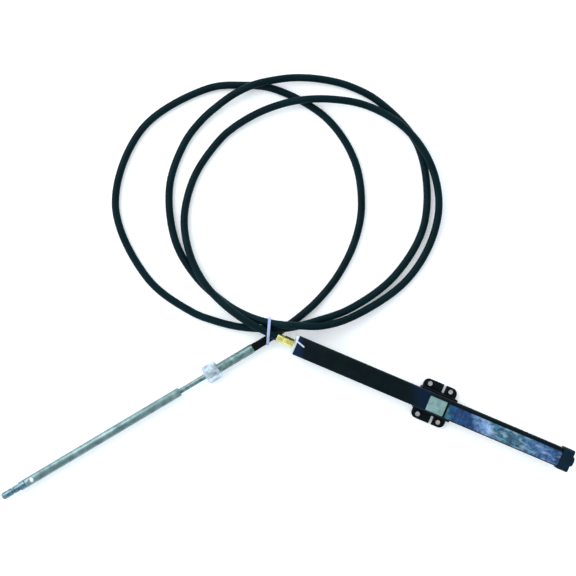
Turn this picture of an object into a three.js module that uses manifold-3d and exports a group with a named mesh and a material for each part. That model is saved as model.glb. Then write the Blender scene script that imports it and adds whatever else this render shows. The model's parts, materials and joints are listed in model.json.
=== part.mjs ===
// Rack-and-pinion boat steering cable, laid out flat with its free cable in three loose loops.
// Millimetres. +X runs along the rack towards its end cap, +Y towards the loops of cable, and +Z
// up. The part's origin is on the mounting bracket's face, which lies on the floor, beside the
// pinion's bore. Places along X are given from the middle of the bracket.

import * as THREE from 'three';
import { mergeVertices } from 'three/addons/utils/BufferGeometryUtils.js';
import Module from 'manifold-3d';

const wasm = await Module();
wasm.setup();

// Running gap between pieces that meet, and how far a cutting tool reaches past what it cuts.
const GAP = 0.3;
const OVERCUT = 2;
const ROUND_SIDES = 32;
const CORNER_STEPS = 6;

// The part's origin, from the middle of the bracket: on solid metal, clear of the pinion's bore.
const ORIGIN_X = 26;

// Mounting bracket: a cast flange with four bolt lugs and a saddle that the rack tube sits in.
const FLANGE_LENGTH = 63;
const FLANGE_WIDTH = 75;
const FLANGE_THICKNESS = 7;
const FLANGE_CORNER_RADIUS = 10;
const BOLT_FROM_END = 11.8;
const BOLT_FROM_SIDE = 8;
const BOLT_HOLE_DIAMETER = 8.6;
const NOTCH_X = 6.7;
const NOTCH_WIDTH = 5;
const NOTCH_DEPTH = 15;
const SADDLE_LENGTH = 68;
const SADDLE_HEIGHT = 17.5;
const CHEEK_THICKNESS = 3.2;
const CHEEK_HEIGHT = 17;
const PINION_BORE_DIAMETER = 23;
const PINION_OFFSET_Y = -4;
const PINION_SPIGOT_DIAMETER = 34;
const PINION_SPIGOT_DEPTH = 4;

// Rack tube: an extruded square tube that the toothed rack slides in.
const TUBE_WIDTH = 35;
const TUBE_HEIGHT = 32;
const TUBE_WALL = 3;
const TUBE_CORNER_RADIUS = 4;
const BORE_CORNER_RADIUS = 0.8;
const TUBE_CABLE_SIDE = 267.5;
const TUBE_FAR_SIDE = 250;

// Toothed rack, shown part of the way along its stroke.
const STROKE = 229;
const RAM_OUT_NOW = 46;
const TOOTHED_RACK_LENGTH = 240;
const TOOTHED_RACK_BACK = 6.3;
const TOOTHED_RACK_HEIGHT = 12;
const TOOTH_PITCH = 4.8;
const TOOTH_DEPTH = 3.4;
const TOOTH_LAND = 1.4;

// Plated plug in the tube's cable end, with a tongue that shows in a slot of the tube's top wall.
const PLUG_FLANGE = 5;
const PLUG_SPIGOT = 12;
const TONGUE_LENGTH = 15;
const TONGUE_WIDTH = 2.6;
const TONGUE_Y = 6.7;
const TONGUE_ANGLE = THREE.MathUtils.degToRad(-17);

// Brass fitting that the cable's jacket is held in.
const BRASS_ACROSS_FLATS = 14.3;
const BRASS_LENGTH = 31.2;
const BRASS_SPIGOT_DIAMETER = 10.4;
const BRASS_SPIGOT_LENGTH = 14;

// Moulded cap over the tube's far end.
const CAP_OVERLAP = 12.5;
const CAP_END_WALL = 7;
const CAP_WALL = 2.4;
const CAP_CORNER_RADIUS = 6;
const CAP_BOSS_DIAMETER = 18;
const CAP_BOSS_HEIGHT = 6.5;
const CAP_BOSS_EDGE = 2;

// Plate over the bracket and printed label on the far half, both on the tube's top wall.
const PLATE_LENGTH = 32;
const PLATE_WIDTH = 26.4;
const PLATE_THICKNESS = 0.8;
const PLATE_X = 1;
const PLATE_Y = -2;
const LABEL_START = 21;
const LABEL_WIDTH = 25.6;
const LABEL_THICKNESS = 0.3;
const LABEL_Y = -2.8;
const LABEL_END_GAP = 0.8;

// Output end, on an axis of its own. Its places are distances along that axis, outwards from the
// end of the hub tube that the cable goes into.
const OUTPUT_X = -335.7;
const OUTPUT_Y = -35.3;
const OUTPUT_HEADING = THREE.MathUtils.degToRad(-126.24);
const HUB_DIAMETER = 16.5;
const HUB_FLANGE_DIAMETER = 19.9;
const HUB_FLANGE_START = 78.3;
const HUB_FLANGE_LENGTH = 5;
const HUB_NOSE_DIAMETER = 14;
const HUB_NOSE_LENGTH = 7;
const HUB_SOCKET_DEPTH = 30;
const SWAGE_PLACES = [26, 43];
const SWAGE_WIDTH = 3;
const SWAGE_DEPTH = 0.5;
const NUT_ACROSS_FLATS = 28.6;
const NUT_START = 71.2;
const NUT_LENGTH = 26.7;
const NUT_COLLAR = 6.8;
const NUT_BORE_DIAMETER = 20.6;
const GUIDE_DIAMETER = 9.5;
const GUIDE_END = 365;
const RAM_DIAMETER = 15.9;
const RAM_START = 151.3;
const RAM_END = 470.6;
const RAM_CHAMFER = 2.4;
const RAM_SOCKET_DIAMETER = 12.3;
const RAM_SOCKET_DEPTH = 34.6;
const RAM_COLLAR_LENGTH = 11.5;
const RAM_NECK_DIAMETER = 12.7;
const RAM_NECK_LENGTH = 36.5;
const RAM_NECK_ROUNDING = 4;
const RAM_NECK_STEPS = 4;
const RAM_EYE_DIAMETER = 9.5;
const RAM_EYE_FROM_END = 12.2;
const SLEEVE_DIAMETER = 14.8;
const SLEEVE_LENGTH = 32.7;
const SLEEVE_LIP = 1.5;

// Free cable.
const CABLE_DIAMETER = 13.4;
const CABLE_SIDES = 10;
const CABLE_STEPS = 88;
const CABLE_LEAD = 5;

// Cable tie round the bundle of strands, in an upright plane through this place.
const TIE_X = -322.2;
const TIE_Y = 4.6;
const TIE_HEADING = THREE.MathUtils.degToRad(-67);
const TIE_WIDTH = 4.8;
const TIE_THICKNESS = 1.2;
const TIE_SLACK = 1;
const TIE_REACH = 40;
const TIE_HEAD_WIDTH = 8;
const TIE_HEAD_DEPTH = 5;
const TIE_HEAD_LENGTH = 7;
const TIE_HEAD_ACROSS = -16;
const TIE_HEAD_Z = 17;
const TIE_HEAD_LEAN = THREE.MathUtils.degToRad(-38);

// Sizes that follow from the ones above.
const TUBE_BOTTOM = SADDLE_HEIGHT + GAP;
const TUBE_TOP = TUBE_BOTTOM + TUBE_HEIGHT;
const RACK_AXIS_Z = TUBE_BOTTOM + TUBE_HEIGHT / 2;
const BORE_WIDTH = TUBE_WIDTH - 2 * TUBE_WALL;
const BORE_HEIGHT = TUBE_HEIGHT - 2 * TUBE_WALL;
const PLUG_FACE = -TUBE_CABLE_SIDE - GAP - PLUG_FLANGE;
const BRASS_FACE = PLUG_FACE - GAP - BRASS_LENGTH;
const OUTPUT_AXIS_Z = NUT_ACROSS_FLATS / 2;
const NUT_END = NUT_START + NUT_LENGTH;
const HUB_NOSE_START = HUB_FLANGE_START + HUB_FLANGE_LENGTH;
const HUB_END = HUB_NOSE_START + HUB_NOSE_LENGTH;
const GUIDE_START = HUB_END - HUB_SOCKET_DEPTH + GAP;
const CAP_START = TUBE_FAR_SIDE - CAP_OVERLAP;
const CAP_END = TUBE_FAR_SIDE + GAP + CAP_END_WALL;

// The route of the cable's middle line on the floor, loop by loop from the output end to the brass
// fitting: X, Y and height.
const CABLE_ROUTE = [
  [-306.8, 4.2, 12],
  [-296, 22, 9],
  [-282, 46, 7],
  [-263, 86, 6.8],
  [-247, 142, 6.8],
  [-243, 211, 6.8],
  [-257, 274, 6.8],
  [-301, 344, 6.8],
  [-377, 393, 6.8],
  [-480, 404, 6.8],
  [-536, 388, 6.8],
  [-591, 358, 6.8],
  [-670, 247, 6.8],
  [-661, 103, 6.9],
  [-557, 5, 7.1],
  [-462, -19, 9.5],
  [-420, -18, 12],
  [-380, -12, 15.4],
  [-349, -3, 18.2],
  [-324, 7, 20.9],
  [-303, 16, 24.2],
  [-280, 30, 25.3],
  [-253, 51, 22.5],
  [-204, 96, 12],
  [-153, 183, 7.3],
  [-142, 292, 6.9],
  [-204, 409, 6.8],
  [-297, 455, 6.8],
  [-360, 461, 7.4],
  [-412, 452, 9.5],
  [-455, 436, 14],
  [-489, 416, 18.8],
  [-517, 395, 21.2],
  [-540, 370, 18.6],
  [-562, 336, 13],
  [-580, 298, 8.6],
  [-591, 251, 7],
  [-585, 171, 6.8],
  [-537, 85, 6.9],
  [-474, 39, 7.1],
  [-410, 18, 10.4],
  [-382, 14, 16],
  [-353, 14, 23.5],
  [-324, 18, 31.5],
  [-299, 25, 37.4],
  [-274, 34, 39.6],
  [-240, 48, 34],
  [-197, 82, 20],
  [-135, 172, 7.8],
  [-118, 248, 8.8],
  [-127, 318, 14],
  [-157, 371, 19.5],
  [-202, 411, 21.4],
  [-256, 434, 21],
  [-322, 439, 20.6],
  [-381, 425, 21.2],
  [-429, 403, 21],
  [-463, 379, 18],
  [-494, 349, 12.6],
  [-521, 312, 8.6],
  [-535, 283, 7.3],
  [-551, 206, 7],
  [-539, 130, 9.5],
  [-504, 74, 15],
  [-460, 37, 21.2],
  [-416, 17, 26.2],
  [-374, 6, 31.8],
  [-342, 2, 34.4],
];

// Finishes.
function finish(colour, roughness, metalness) {
  return new THREE.MeshStandardMaterial({ color: colour, roughness, metalness });
}
const BLACK_ENAMEL = finish(0x15191c, 0.55, 0.1);
const BLACK_JACKET = finish(0x0d2126, 0.45, 0);
const BLACK_RUBBER = finish(0x0b0e10, 0.8, 0);
const ZINC_PLATE = finish(0xc9d0dc, 0.35, 0.9);
const BRASS = finish(0xd9c65a, 0.3, 0.9);
const STEEL = finish(0x9fb0b0, 0.35, 0.9);
const GREY_PLATE = finish(0x9fbdbd, 0.5, 0.4);
const BLUE_LABEL = finish(0x3f6da3, 0.35, 0);
const WHITE_NYLON = finish(0xd9dcf0, 0.5, 0);

const part = new THREE.Group();
const assembly = new THREE.Group();
assembly.position.x = -ORIGIN_X;
part.add(assembly);

function addMesh(group, name, geometry, material) {
  const mesh = new THREE.Mesh(geometry, material);
  mesh.name = name;
  group.add(mesh);
  return mesh;
}

// A closed geometry as a solid that can be cut and joined.
function solidOf(geometry) {
  const bare = geometry.index ? geometry.toNonIndexed() : geometry.clone();
  bare.deleteAttribute('normal');
  bare.deleteAttribute('uv');
  const merged = mergeVertices(bare, 1e-4);
  const vertProperties = Float32Array.from(merged.attributes.position.array);
  const triVerts = Uint32Array.from(merged.index.array);
  return new wasm.Manifold(new wasm.Mesh({ numProp: 3, vertProperties, triVerts }));
}

function geometryOf(solid) {
  const { vertProperties, triVerts } = solid.getMesh();
  const geometry = new THREE.BufferGeometry();
  geometry.setAttribute('position', new THREE.BufferAttribute(vertProperties, 3));
  geometry.setIndex(new THREE.BufferAttribute(triVerts, 1));
  return geometry;
}

// The first geometries joined into one solid, less the second ones.
function shaped(joined, removed) {
  let solid = solidOf(joined[0]);
  for (const geometry of joined.slice(1)) {
    solid = solid.add(solidOf(geometry));
  }
  for (const geometry of removed) {
    solid = solid.subtract(solidOf(geometry));
  }
  return geometryOf(solid);
}

function roundedRectangle(width, height, radius) {
  const shape = new THREE.Shape();
  const x = width / 2;
  const y = height / 2;
  shape.moveTo(x - radius, -y);
  shape.absarc(x - radius, -y + radius, radius, -Math.PI / 2, 0);
  shape.absarc(x - radius, y - radius, radius, 0, Math.PI / 2);
  shape.absarc(-x + radius, y - radius, radius, Math.PI / 2, Math.PI);
  shape.absarc(-x + radius, -y + radius, radius, Math.PI, 1.5 * Math.PI);
  return shape;
}

function regularPolygon(sides, radius, firstAngle) {
  const corners = [];
  for (let i = 0; i < sides; i += 1) {
    const angle = firstAngle + (2 * Math.PI * i) / sides;
    corners.push(new THREE.Vector2(radius * Math.cos(angle), radius * Math.sin(angle)));
  }
  return new THREE.Shape(corners);
}

// A hexagon with two of its flats level when its shape's y axis points up.
function hexagon(acrossFlats) {
  return regularPolygon(6, acrossFlats / Math.sqrt(3), 0);
}

// A bar with this section from x = start to x = end: the section's x lies along Y and its y along Z.
const SECTION_TO_X = new THREE.Matrix4().makeBasis(
  new THREE.Vector3(0, 1, 0),
  new THREE.Vector3(0, 0, 1),
  new THREE.Vector3(1, 0, 0),
);
function barAlongX(section, start, end) {
  const options = { depth: end - start, bevelEnabled: false, curveSegments: CORNER_STEPS };
  const geometry = new THREE.ExtrudeGeometry(section, options);
  geometry.applyMatrix4(SECTION_TO_X);
  geometry.translate(start, 0, 0);
  return geometry;
}

// A slab with this outline in plan from z = bottom to z = top.
function slab(outline, bottom, top) {
  const options = { depth: top - bottom, bevelEnabled: false, curveSegments: CORNER_STEPS };
  const geometry = new THREE.ExtrudeGeometry(outline, options);
  geometry.translate(0, 0, bottom);
  return geometry;
}

function box(x0, x1, y0, y1, z0, z1) {
  const geometry = new THREE.BoxGeometry(x1 - x0, y1 - y0, z1 - z0);
  geometry.translate((x0 + x1) / 2, (y0 + y1) / 2, (z0 + z1) / 2);
  return geometry;
}

function uprightCylinder(x, y, diameter, bottom, top) {
  const geometry = new THREE.CylinderGeometry(diameter / 2, diameter / 2, top - bottom, ROUND_SIDES);
  geometry.rotateX(Math.PI / 2);
  geometry.translate(x, y, (bottom + top) / 2);
  return geometry;
}

// A body turned about the X axis from [distance along X, radius] pairs, which go from one end of
// the axis to the other, or close on themselves.
function turnedAboutX(profile) {
  const points = profile.map(([along, radius]) => new THREE.Vector2(radius, along));
  const geometry = new THREE.LatheGeometry(points, ROUND_SIDES);
  geometry.rotateZ(-Math.PI / 2);
  return geometry;
}

function buildBracket() {
  const flangeOutline = roundedRectangle(FLANGE_LENGTH, FLANGE_WIDTH, FLANGE_CORNER_RADIUS);
  const cheekInside = TUBE_WIDTH / 2 + GAP;
  const cheekOutside = cheekInside + CHEEK_THICKNESS;
  const halfSaddle = SADDLE_LENGTH / 2;
  const cheekTop = SADDLE_HEIGHT + CHEEK_HEIGHT;
  const joined = [
    slab(flangeOutline, 0, FLANGE_THICKNESS),
    box(-halfSaddle, halfSaddle, -cheekOutside, cheekOutside, 0, SADDLE_HEIGHT),
    box(-halfSaddle, halfSaddle, cheekInside, cheekOutside, 0, cheekTop),
    box(-halfSaddle, halfSaddle, -cheekOutside, -cheekInside, 0, cheekTop),
  ];
  const removed = [
    uprightCylinder(0, PINION_OFFSET_Y, PINION_BORE_DIAMETER, -OVERCUT, SADDLE_HEIGHT + OVERCUT),
    uprightCylinder(0, PINION_OFFSET_Y, PINION_SPIGOT_DIAMETER, -OVERCUT, PINION_SPIGOT_DEPTH),
  ];
  for (const side of [-1, 1]) {
    for (const end of [-1, 1]) {
      const x = end * (FLANGE_LENGTH / 2 - BOLT_FROM_END);
      const y = side * (FLANGE_WIDTH / 2 - BOLT_FROM_SIDE);
      const top = FLANGE_THICKNESS + OVERCUT;
      removed.push(uprightCylinder(x, y, BOLT_HOLE_DIAMETER, -OVERCUT, top));
    }
    const outer = side * (FLANGE_WIDTH / 2 + OVERCUT);
    const root = side * (FLANGE_WIDTH / 2 - NOTCH_DEPTH + NOTCH_WIDTH / 2);
    const left = NOTCH_X - NOTCH_WIDTH / 2;
    const right = NOTCH_X + NOTCH_WIDTH / 2;
    const top = FLANGE_THICKNESS + OVERCUT;
    removed.push(box(left, right, Math.min(root, outer), Math.max(root, outer), -OVERCUT, top));
    removed.push(uprightCylinder(NOTCH_X, root, NOTCH_WIDTH, -OVERCUT, top));
  }
  addMesh(assembly, 'mounting_bracket', shaped(joined, removed), BLACK_ENAMEL);
}

// The plug's tongue, or the slot for it when it is made larger by the clearance.
function tongue(clearance) {
  const reach = TONGUE_LENGTH + clearance;
  const half = TONGUE_WIDTH / 2 + clearance;
  const geometry = box(-PLUG_FLANGE, reach, -half, half, -TUBE_WALL - clearance, clearance);
  geometry.rotateZ(TONGUE_ANGLE);
  geometry.translate(-TUBE_CABLE_SIDE, TONGUE_Y, TUBE_TOP);
  return geometry;
}

function buildTube() {
  const outside = roundedRectangle(TUBE_WIDTH, TUBE_HEIGHT, TUBE_CORNER_RADIUS);
  const inside = roundedRectangle(BORE_WIDTH, BORE_HEIGHT, BORE_CORNER_RADIUS);
  const outer = barAlongX(outside, -TUBE_CABLE_SIDE, TUBE_FAR_SIDE);
  const bore = barAlongX(inside, -TUBE_CABLE_SIDE - OVERCUT, TUBE_FAR_SIDE + OVERCUT);
  outer.translate(0, 0, RACK_AXIS_Z);
  bore.translate(0, 0, RACK_AXIS_Z);
  const windowTop = TUBE_BOTTOM + TUBE_WALL + OVERCUT;
  const window = uprightCylinder(0, PINION_OFFSET_Y, PINION_BORE_DIAMETER, 0, windowTop);
  addMesh(assembly, 'rack_tube', shaped([outer], [bore, window, tongue(GAP)]), BLACK_ENAMEL);
}

function buildToothedRack() {
  const middle = STROKE / 2 - RAM_OUT_NOW;
  const start = middle - TOOTHED_RACK_LENGTH / 2;
  const back = BORE_WIDTH / 2 - GAP;
  const root = back - TOOTHED_RACK_BACK;
  const tip = root - TOOTH_DEPTH;
  const flank = (TOOTH_PITCH - 2 * TOOTH_LAND) / 2;
  const teeth = Math.floor(TOOTHED_RACK_LENGTH / TOOTH_PITCH);
  const outline = new THREE.Shape();
  outline.moveTo(start, root);
  for (let i = 0; i < teeth; i += 1) {
    const from = start + i * TOOTH_PITCH + TOOTH_LAND;
    outline.lineTo(from, root);
    outline.lineTo(from + flank, tip);
    outline.lineTo(from + flank + TOOTH_LAND, tip);
    outline.lineTo(from + 2 * flank + TOOTH_LAND, root);
  }
  outline.lineTo(start + TOOTHED_RACK_LENGTH, root);
  outline.lineTo(start + TOOTHED_RACK_LENGTH, back);
  outline.lineTo(start, back);
  const bottom = TUBE_BOTTOM + TUBE_WALL + GAP;
  addMesh(assembly, 'toothed_rack', slab(outline, bottom, bottom + TOOTHED_RACK_HEIGHT), STEEL);
}

function buildPlug() {
  const flangeShape = roundedRectangle(TUBE_WIDTH, TUBE_HEIGHT, TUBE_CORNER_RADIUS);
  const spigotShape = roundedRectangle(
    BORE_WIDTH - 2 * GAP,
    BORE_HEIGHT - 2 * GAP,
    BORE_CORNER_RADIUS - GAP,
  );
  const flangeEnd = PLUG_FACE + PLUG_FLANGE;
  const flange = barAlongX(flangeShape, PLUG_FACE, flangeEnd);
  const spigot = barAlongX(spigotShape, PLUG_FACE, flangeEnd + PLUG_SPIGOT);
  flange.translate(0, 0, RACK_AXIS_Z);
  spigot.translate(0, 0, RACK_AXIS_Z);
  const boreRadius = BRASS_SPIGOT_DIAMETER / 2 + GAP;
  const boreStart = PLUG_FACE - OVERCUT;
  const boreEnd = flangeEnd + PLUG_SPIGOT + OVERCUT;
  const bore = turnedAboutX([
    [boreStart, 0],
    [boreStart, boreRadius],
    [boreEnd, boreRadius],
    [boreEnd, 0],
  ]);
  bore.translate(0, 0, RACK_AXIS_Z);
  addMesh(assembly, 'end_plug', shaped([flange, spigot, tongue(0)], [bore]), ZINC_PLATE);
}

function buildBrassFitting() {
  const end = BRASS_FACE + BRASS_LENGTH;
  const hex = barAlongX(hexagon(BRASS_ACROSS_FLATS), BRASS_FACE, end);
  const spigotEnd = end + GAP + BRASS_SPIGOT_LENGTH;
  const spigotRadius = BRASS_SPIGOT_DIAMETER / 2;
  const spigot = turnedAboutX([
    [BRASS_FACE, 0],
    [BRASS_FACE, spigotRadius],
    [spigotEnd, spigotRadius],
    [spigotEnd, 0],
  ]);
  const geometry = shaped([hex, spigot], []);
  geometry.translate(0, 0, RACK_AXIS_Z);
  addMesh(assembly, 'brass_fitting', geometry, BRASS);
}

function buildCap() {
  const innerWidth = TUBE_WIDTH + 2 * GAP;
  const innerHeight = TUBE_HEIGHT + 2 * GAP;
  const outside = roundedRectangle(
    innerWidth + 2 * CAP_WALL,
    innerHeight + 2 * CAP_WALL,
    CAP_CORNER_RADIUS,
  );
  const inside = roundedRectangle(innerWidth, innerHeight, TUBE_CORNER_RADIUS);
  const outer = barAlongX(outside, CAP_START, CAP_END);
  const hollow = barAlongX(inside, CAP_START - OVERCUT, TUBE_FAR_SIDE + GAP);
  const bossRadius = CAP_BOSS_DIAMETER / 2;
  const bossEnd = CAP_END + CAP_BOSS_HEIGHT;
  const bossStart = CAP_END - CAP_END_WALL / 2;
  const boss = turnedAboutX([
    [bossStart, 0],
    [bossStart, bossRadius],
    [bossEnd - CAP_BOSS_EDGE, bossRadius],
    [bossEnd, bossRadius - CAP_BOSS_EDGE],
    [bossEnd, 0],
  ]);
  const geometry = shaped([outer, boss], [hollow]);
  geometry.translate(0, 0, RACK_AXIS_Z);
  addMesh(assembly, 'end_cap', geometry, BLACK_RUBBER);
}

function buildPlateAndLabel() {
  const plate = box(
    PLATE_X - PLATE_LENGTH / 2,
    PLATE_X + PLATE_LENGTH / 2,
    PLATE_Y - PLATE_WIDTH / 2,
    PLATE_Y + PLATE_WIDTH / 2,
    TUBE_TOP,
    TUBE_TOP + PLATE_THICKNESS,
  );
  addMesh(assembly, 'bracket_plate', plate, GREY_PLATE);
  const label = box(
    LABEL_START,
    CAP_START - LABEL_END_GAP,
    LABEL_Y - LABEL_WIDTH / 2,
    LABEL_Y + LABEL_WIDTH / 2,
    TUBE_TOP,
    TUBE_TOP + LABEL_THICKNESS,
  );
  addMesh(assembly, 'rack_label', label, BLUE_LABEL);
}

function buildOutputEnd() {
  const output = new THREE.Group();
  output.position.set(OUTPUT_X, OUTPUT_Y, OUTPUT_AXIS_Z);
  output.rotation.z = OUTPUT_HEADING;
  output.updateMatrix();
  assembly.add(output);

  const sleeveRadius = SLEEVE_DIAMETER / 2;
  const sleeve = turnedAboutX([
    [-GAP - SLEEVE_LENGTH, 0],
    [-GAP - SLEEVE_LENGTH, CABLE_DIAMETER / 2],
    [-GAP - SLEEVE_LENGTH + SLEEVE_LIP, sleeveRadius],
    [-GAP, sleeveRadius],
    [-GAP, 0],
  ]);
  addMesh(output, 'rubber_sleeve', sleeve, BLACK_RUBBER);

  const hubRadius = HUB_DIAMETER / 2;
  const socketRadius = GUIDE_DIAMETER / 2 + GAP;
  const hubProfile = [
    [0, 0],
    [0, hubRadius],
  ];
  for (const place of SWAGE_PLACES) {
    hubProfile.push([place, hubRadius]);
    hubProfile.push([place + SWAGE_DEPTH, hubRadius - SWAGE_DEPTH]);
    hubProfile.push([place + SWAGE_WIDTH - SWAGE_DEPTH, hubRadius - SWAGE_DEPTH]);
    hubProfile.push([place + SWAGE_WIDTH, hubRadius]);
  }
  hubProfile.push(
    [HUB_FLANGE_START, hubRadius],
    [HUB_FLANGE_START, HUB_FLANGE_DIAMETER / 2],
    [HUB_NOSE_START, HUB_FLANGE_DIAMETER / 2],
    [HUB_END, HUB_NOSE_DIAMETER / 2],
    [HUB_END, socketRadius],
    [HUB_END - HUB_SOCKET_DEPTH, socketRadius],
    [HUB_END - HUB_SOCKET_DEPTH, 0],
  );
  addMesh(output, 'hub_tube', turnedAboutX(hubProfile), STEEL);

  const collarRadius = hubRadius + GAP;
  const collarEnd = NUT_START + NUT_COLLAR;
  const nutBore = turnedAboutX([
    [NUT_START - OVERCUT, 0],
    [NUT_START - OVERCUT, collarRadius],
    [collarEnd, collarRadius],
    [collarEnd, NUT_BORE_DIAMETER / 2],
    [NUT_END + OVERCUT, NUT_BORE_DIAMETER / 2],
    [NUT_END + OVERCUT, 0],
  ]);
  const nut = shaped([barAlongX(hexagon(NUT_ACROSS_FLATS), NUT_START, NUT_END)], [nutBore]);
  addMesh(output, 'coupling_nut', nut, ZINC_PLATE);

  const guide = turnedAboutX([
    [GUIDE_START, 0],
    [GUIDE_START, GUIDE_DIAMETER / 2],
    [GUIDE_END, GUIDE_DIAMETER / 2],
    [GUIDE_END, 0],
  ]);
  addMesh(output, 'guide_tube', guide, STEEL);

  const eyeX = RAM_END - RAM_EYE_FROM_END;
  const eye = uprightCylinder(eyeX, 0, RAM_EYE_DIAMETER, -RAM_DIAMETER, RAM_DIAMETER);
  const ramRadius = RAM_DIAMETER / 2;
  const socketStart = RAM_END - RAM_SOCKET_DEPTH;
  const ramTube = turnedAboutX([
    [RAM_START, socketRadius],
    [RAM_START, ramRadius - RAM_CHAMFER / 2],
    [RAM_START + RAM_CHAMFER, ramRadius],
    [RAM_END, ramRadius],
    [RAM_END, RAM_SOCKET_DIAMETER / 2],
    [socketStart, RAM_SOCKET_DIAMETER / 2],
    [socketStart, socketRadius],
    [RAM_START, socketRadius],
  ]);
  addMesh(output, 'ram_tube', shaped([ramTube], [eye]), STEEL);

  const collarStart = RAM_END + GAP;
  const neckStart = collarStart + RAM_COLLAR_LENGTH;
  const neckEnd = neckStart + RAM_NECK_LENGTH;
  const shankRadius = RAM_SOCKET_DIAMETER / 2 - GAP;
  const neckRadius = RAM_NECK_DIAMETER / 2;
  const fittingProfile = [
    [socketStart + GAP, 0],
    [socketStart + GAP, shankRadius],
    [collarStart, shankRadius],
    [collarStart, ramRadius],
    [neckStart, ramRadius],
    [neckStart, neckRadius],
  ];
  for (let i = 0; i <= RAM_NECK_STEPS; i += 1) {
    const angle = (Math.PI / 2 / RAM_NECK_STEPS) * i;
    const along = neckEnd - RAM_NECK_ROUNDING + RAM_NECK_ROUNDING * Math.sin(angle);
    fittingProfile.push([along, neckRadius - RAM_NECK_ROUNDING * (1 - Math.cos(angle))]);
  }
  fittingProfile.push([neckEnd, 0]);
  addMesh(output, 'ram_end', shaped([turnedAboutX(fittingProfile)], [eye]), STEEL);
  return output;
}

// The cable's middle line: straight out of the sleeve, along the route, and straight into the brass.
function cableCurve(output) {
  const sleeveEnd = -2 * GAP - SLEEVE_LENGTH;
  const start = new THREE.Vector3(sleeveEnd, 0, 0).applyMatrix4(output.matrix);
  const startLead = new THREE.Vector3(sleeveEnd - CABLE_LEAD, 0, 0).applyMatrix4(output.matrix);
  const end = new THREE.Vector3(BRASS_FACE - GAP, 0, RACK_AXIS_Z);
  const endLead = end.clone().setX(end.x - CABLE_LEAD);
  const route = CABLE_ROUTE.map(([x, y, z]) => new THREE.Vector3(x, y, z));
  const points = [start, startLead, ...route, endLead, end];
  return new THREE.CatmullRomCurve3(points, false, 'centripetal');
}

function buildCable(curve) {
  const section = regularPolygon(CABLE_SIDES, CABLE_DIAMETER / 2, 0);
  const options = { steps: CABLE_STEPS, extrudePath: curve, bevelEnabled: false };
  const geometry = new THREE.ExtrudeGeometry(section, options);
  addMesh(assembly, 'cable_jacket', geometry, BLACK_JACKET);
}

// The corners of the tight outline round some points, in order.
function convexOutline(points) {
  const sorted = [...points].sort((a, b) => a.x - b.x || a.y - b.y);
  const turn = (a, b, c) => (b.x - a.x) * (c.y - a.y) - (b.y - a.y) * (c.x - a.x);
  const half = (ordered) => {
    const kept = [];
    for (const point of ordered) {
      while (kept.length > 1 && turn(kept.at(-2), kept.at(-1), point) <= 0) {
        kept.pop();
      }
      kept.push(point);
    }
    return kept.slice(0, -1);
  };
  return [...half(sorted), ...half(sorted.reverse())];
}

// The tie is a band drawn tight round the strands that cross its plane. In the plane, x runs
// outwards along TIE_HEADING and y up.
function buildTie(curve, output) {
  const tie = new THREE.Group();
  tie.position.set(TIE_X, TIE_Y, 0);
  const outwards = new THREE.Vector3(Math.cos(TIE_HEADING), Math.sin(TIE_HEADING), 0);
  const up = new THREE.Vector3(0, 0, 1);
  const along = new THREE.Vector3().crossVectors(outwards, up);
  tie.quaternion.setFromRotationMatrix(new THREE.Matrix4().makeBasis(outwards, up, along));
  assembly.add(tie);

  // Every strand as a row of balls, each cut by the tie's width: where it lies and its cut radius.
  const cuts = [];
  const addCut = (place, radius) => {
    const point = place.sub(tie.position);
    const aside = Math.max(Math.abs(point.dot(along)) - TIE_WIDTH / 2, 0);
    const across = point.dot(outwards);
    if (aside < radius && Math.abs(across) < TIE_REACH) {
      cuts.push([across, point.z, Math.sqrt(radius * radius - aside * aside)]);
    }
  };
  const cableSamples = Math.ceil(curve.getLength());
  for (let i = 0; i <= cableSamples; i += 1) {
    addCut(curve.getPointAt(i / cableSamples), CABLE_DIAMETER / 2);
  }
  const sleeveSamples = Math.ceil(SLEEVE_LENGTH);
  for (let i = 0; i <= sleeveSamples; i += 1) {
    const place = new THREE.Vector3(-GAP - (SLEEVE_LENGTH * i) / sleeveSamples, 0, 0);
    addCut(place.applyMatrix4(output.matrix), SLEEVE_DIAMETER / 2);
  }
  const outline = (extra) => {
    const points = [];
    for (const [across, height, radius] of cuts) {
      for (let i = 0; i < ROUND_SIDES; i += 1) {
        const angle = (2 * Math.PI * i) / ROUND_SIDES;
        const far = radius + extra;
        const x = across + far * Math.cos(angle);
        points.push(new THREE.Vector2(x, height + far * Math.sin(angle)));
      }
    }
    return convexOutline(points);
  };
  const band = new THREE.Shape(outline(TIE_SLACK + TIE_THICKNESS));
  band.holes.push(new THREE.Path(outline(TIE_SLACK)));
  const loop = new THREE.ExtrudeGeometry(band, { depth: TIE_WIDTH, bevelEnabled: false });
  loop.translate(0, 0, -TIE_WIDTH / 2);
  const head = new THREE.BoxGeometry(TIE_HEAD_WIDTH, TIE_HEAD_DEPTH, TIE_HEAD_LENGTH);
  head.rotateZ(TIE_HEAD_LEAN);
  head.translate(TIE_HEAD_ACROSS, TIE_HEAD_Z, 0);
  addMesh(tie, 'cable_tie', shaped([loop, head], []), WHITE_NYLON);
}

buildBracket();
buildTube();
buildToothedRack();
buildPlug();
buildBrassFitting();
buildCap();
buildPlateAndLabel();
const output = buildOutputEnd();
const curve = cableCurve(output);
buildCable(curve);
buildTie(curve, output);

export default part;
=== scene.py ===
"""Rack-and-pinion boat steering cable, laid out on a pale floor and seen from straight above.

Everything is in metres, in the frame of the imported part. Places along the rack tube are counted
from the middle of the mounting bracket, and places on the output end along its own axis.
"""

import json
import logging
import math
from dataclasses import dataclass, field
from enum import Enum
from typing import Callable, Iterable, Sequence

import bmesh
import bpy
from mathutils import Matrix, Vector

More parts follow.
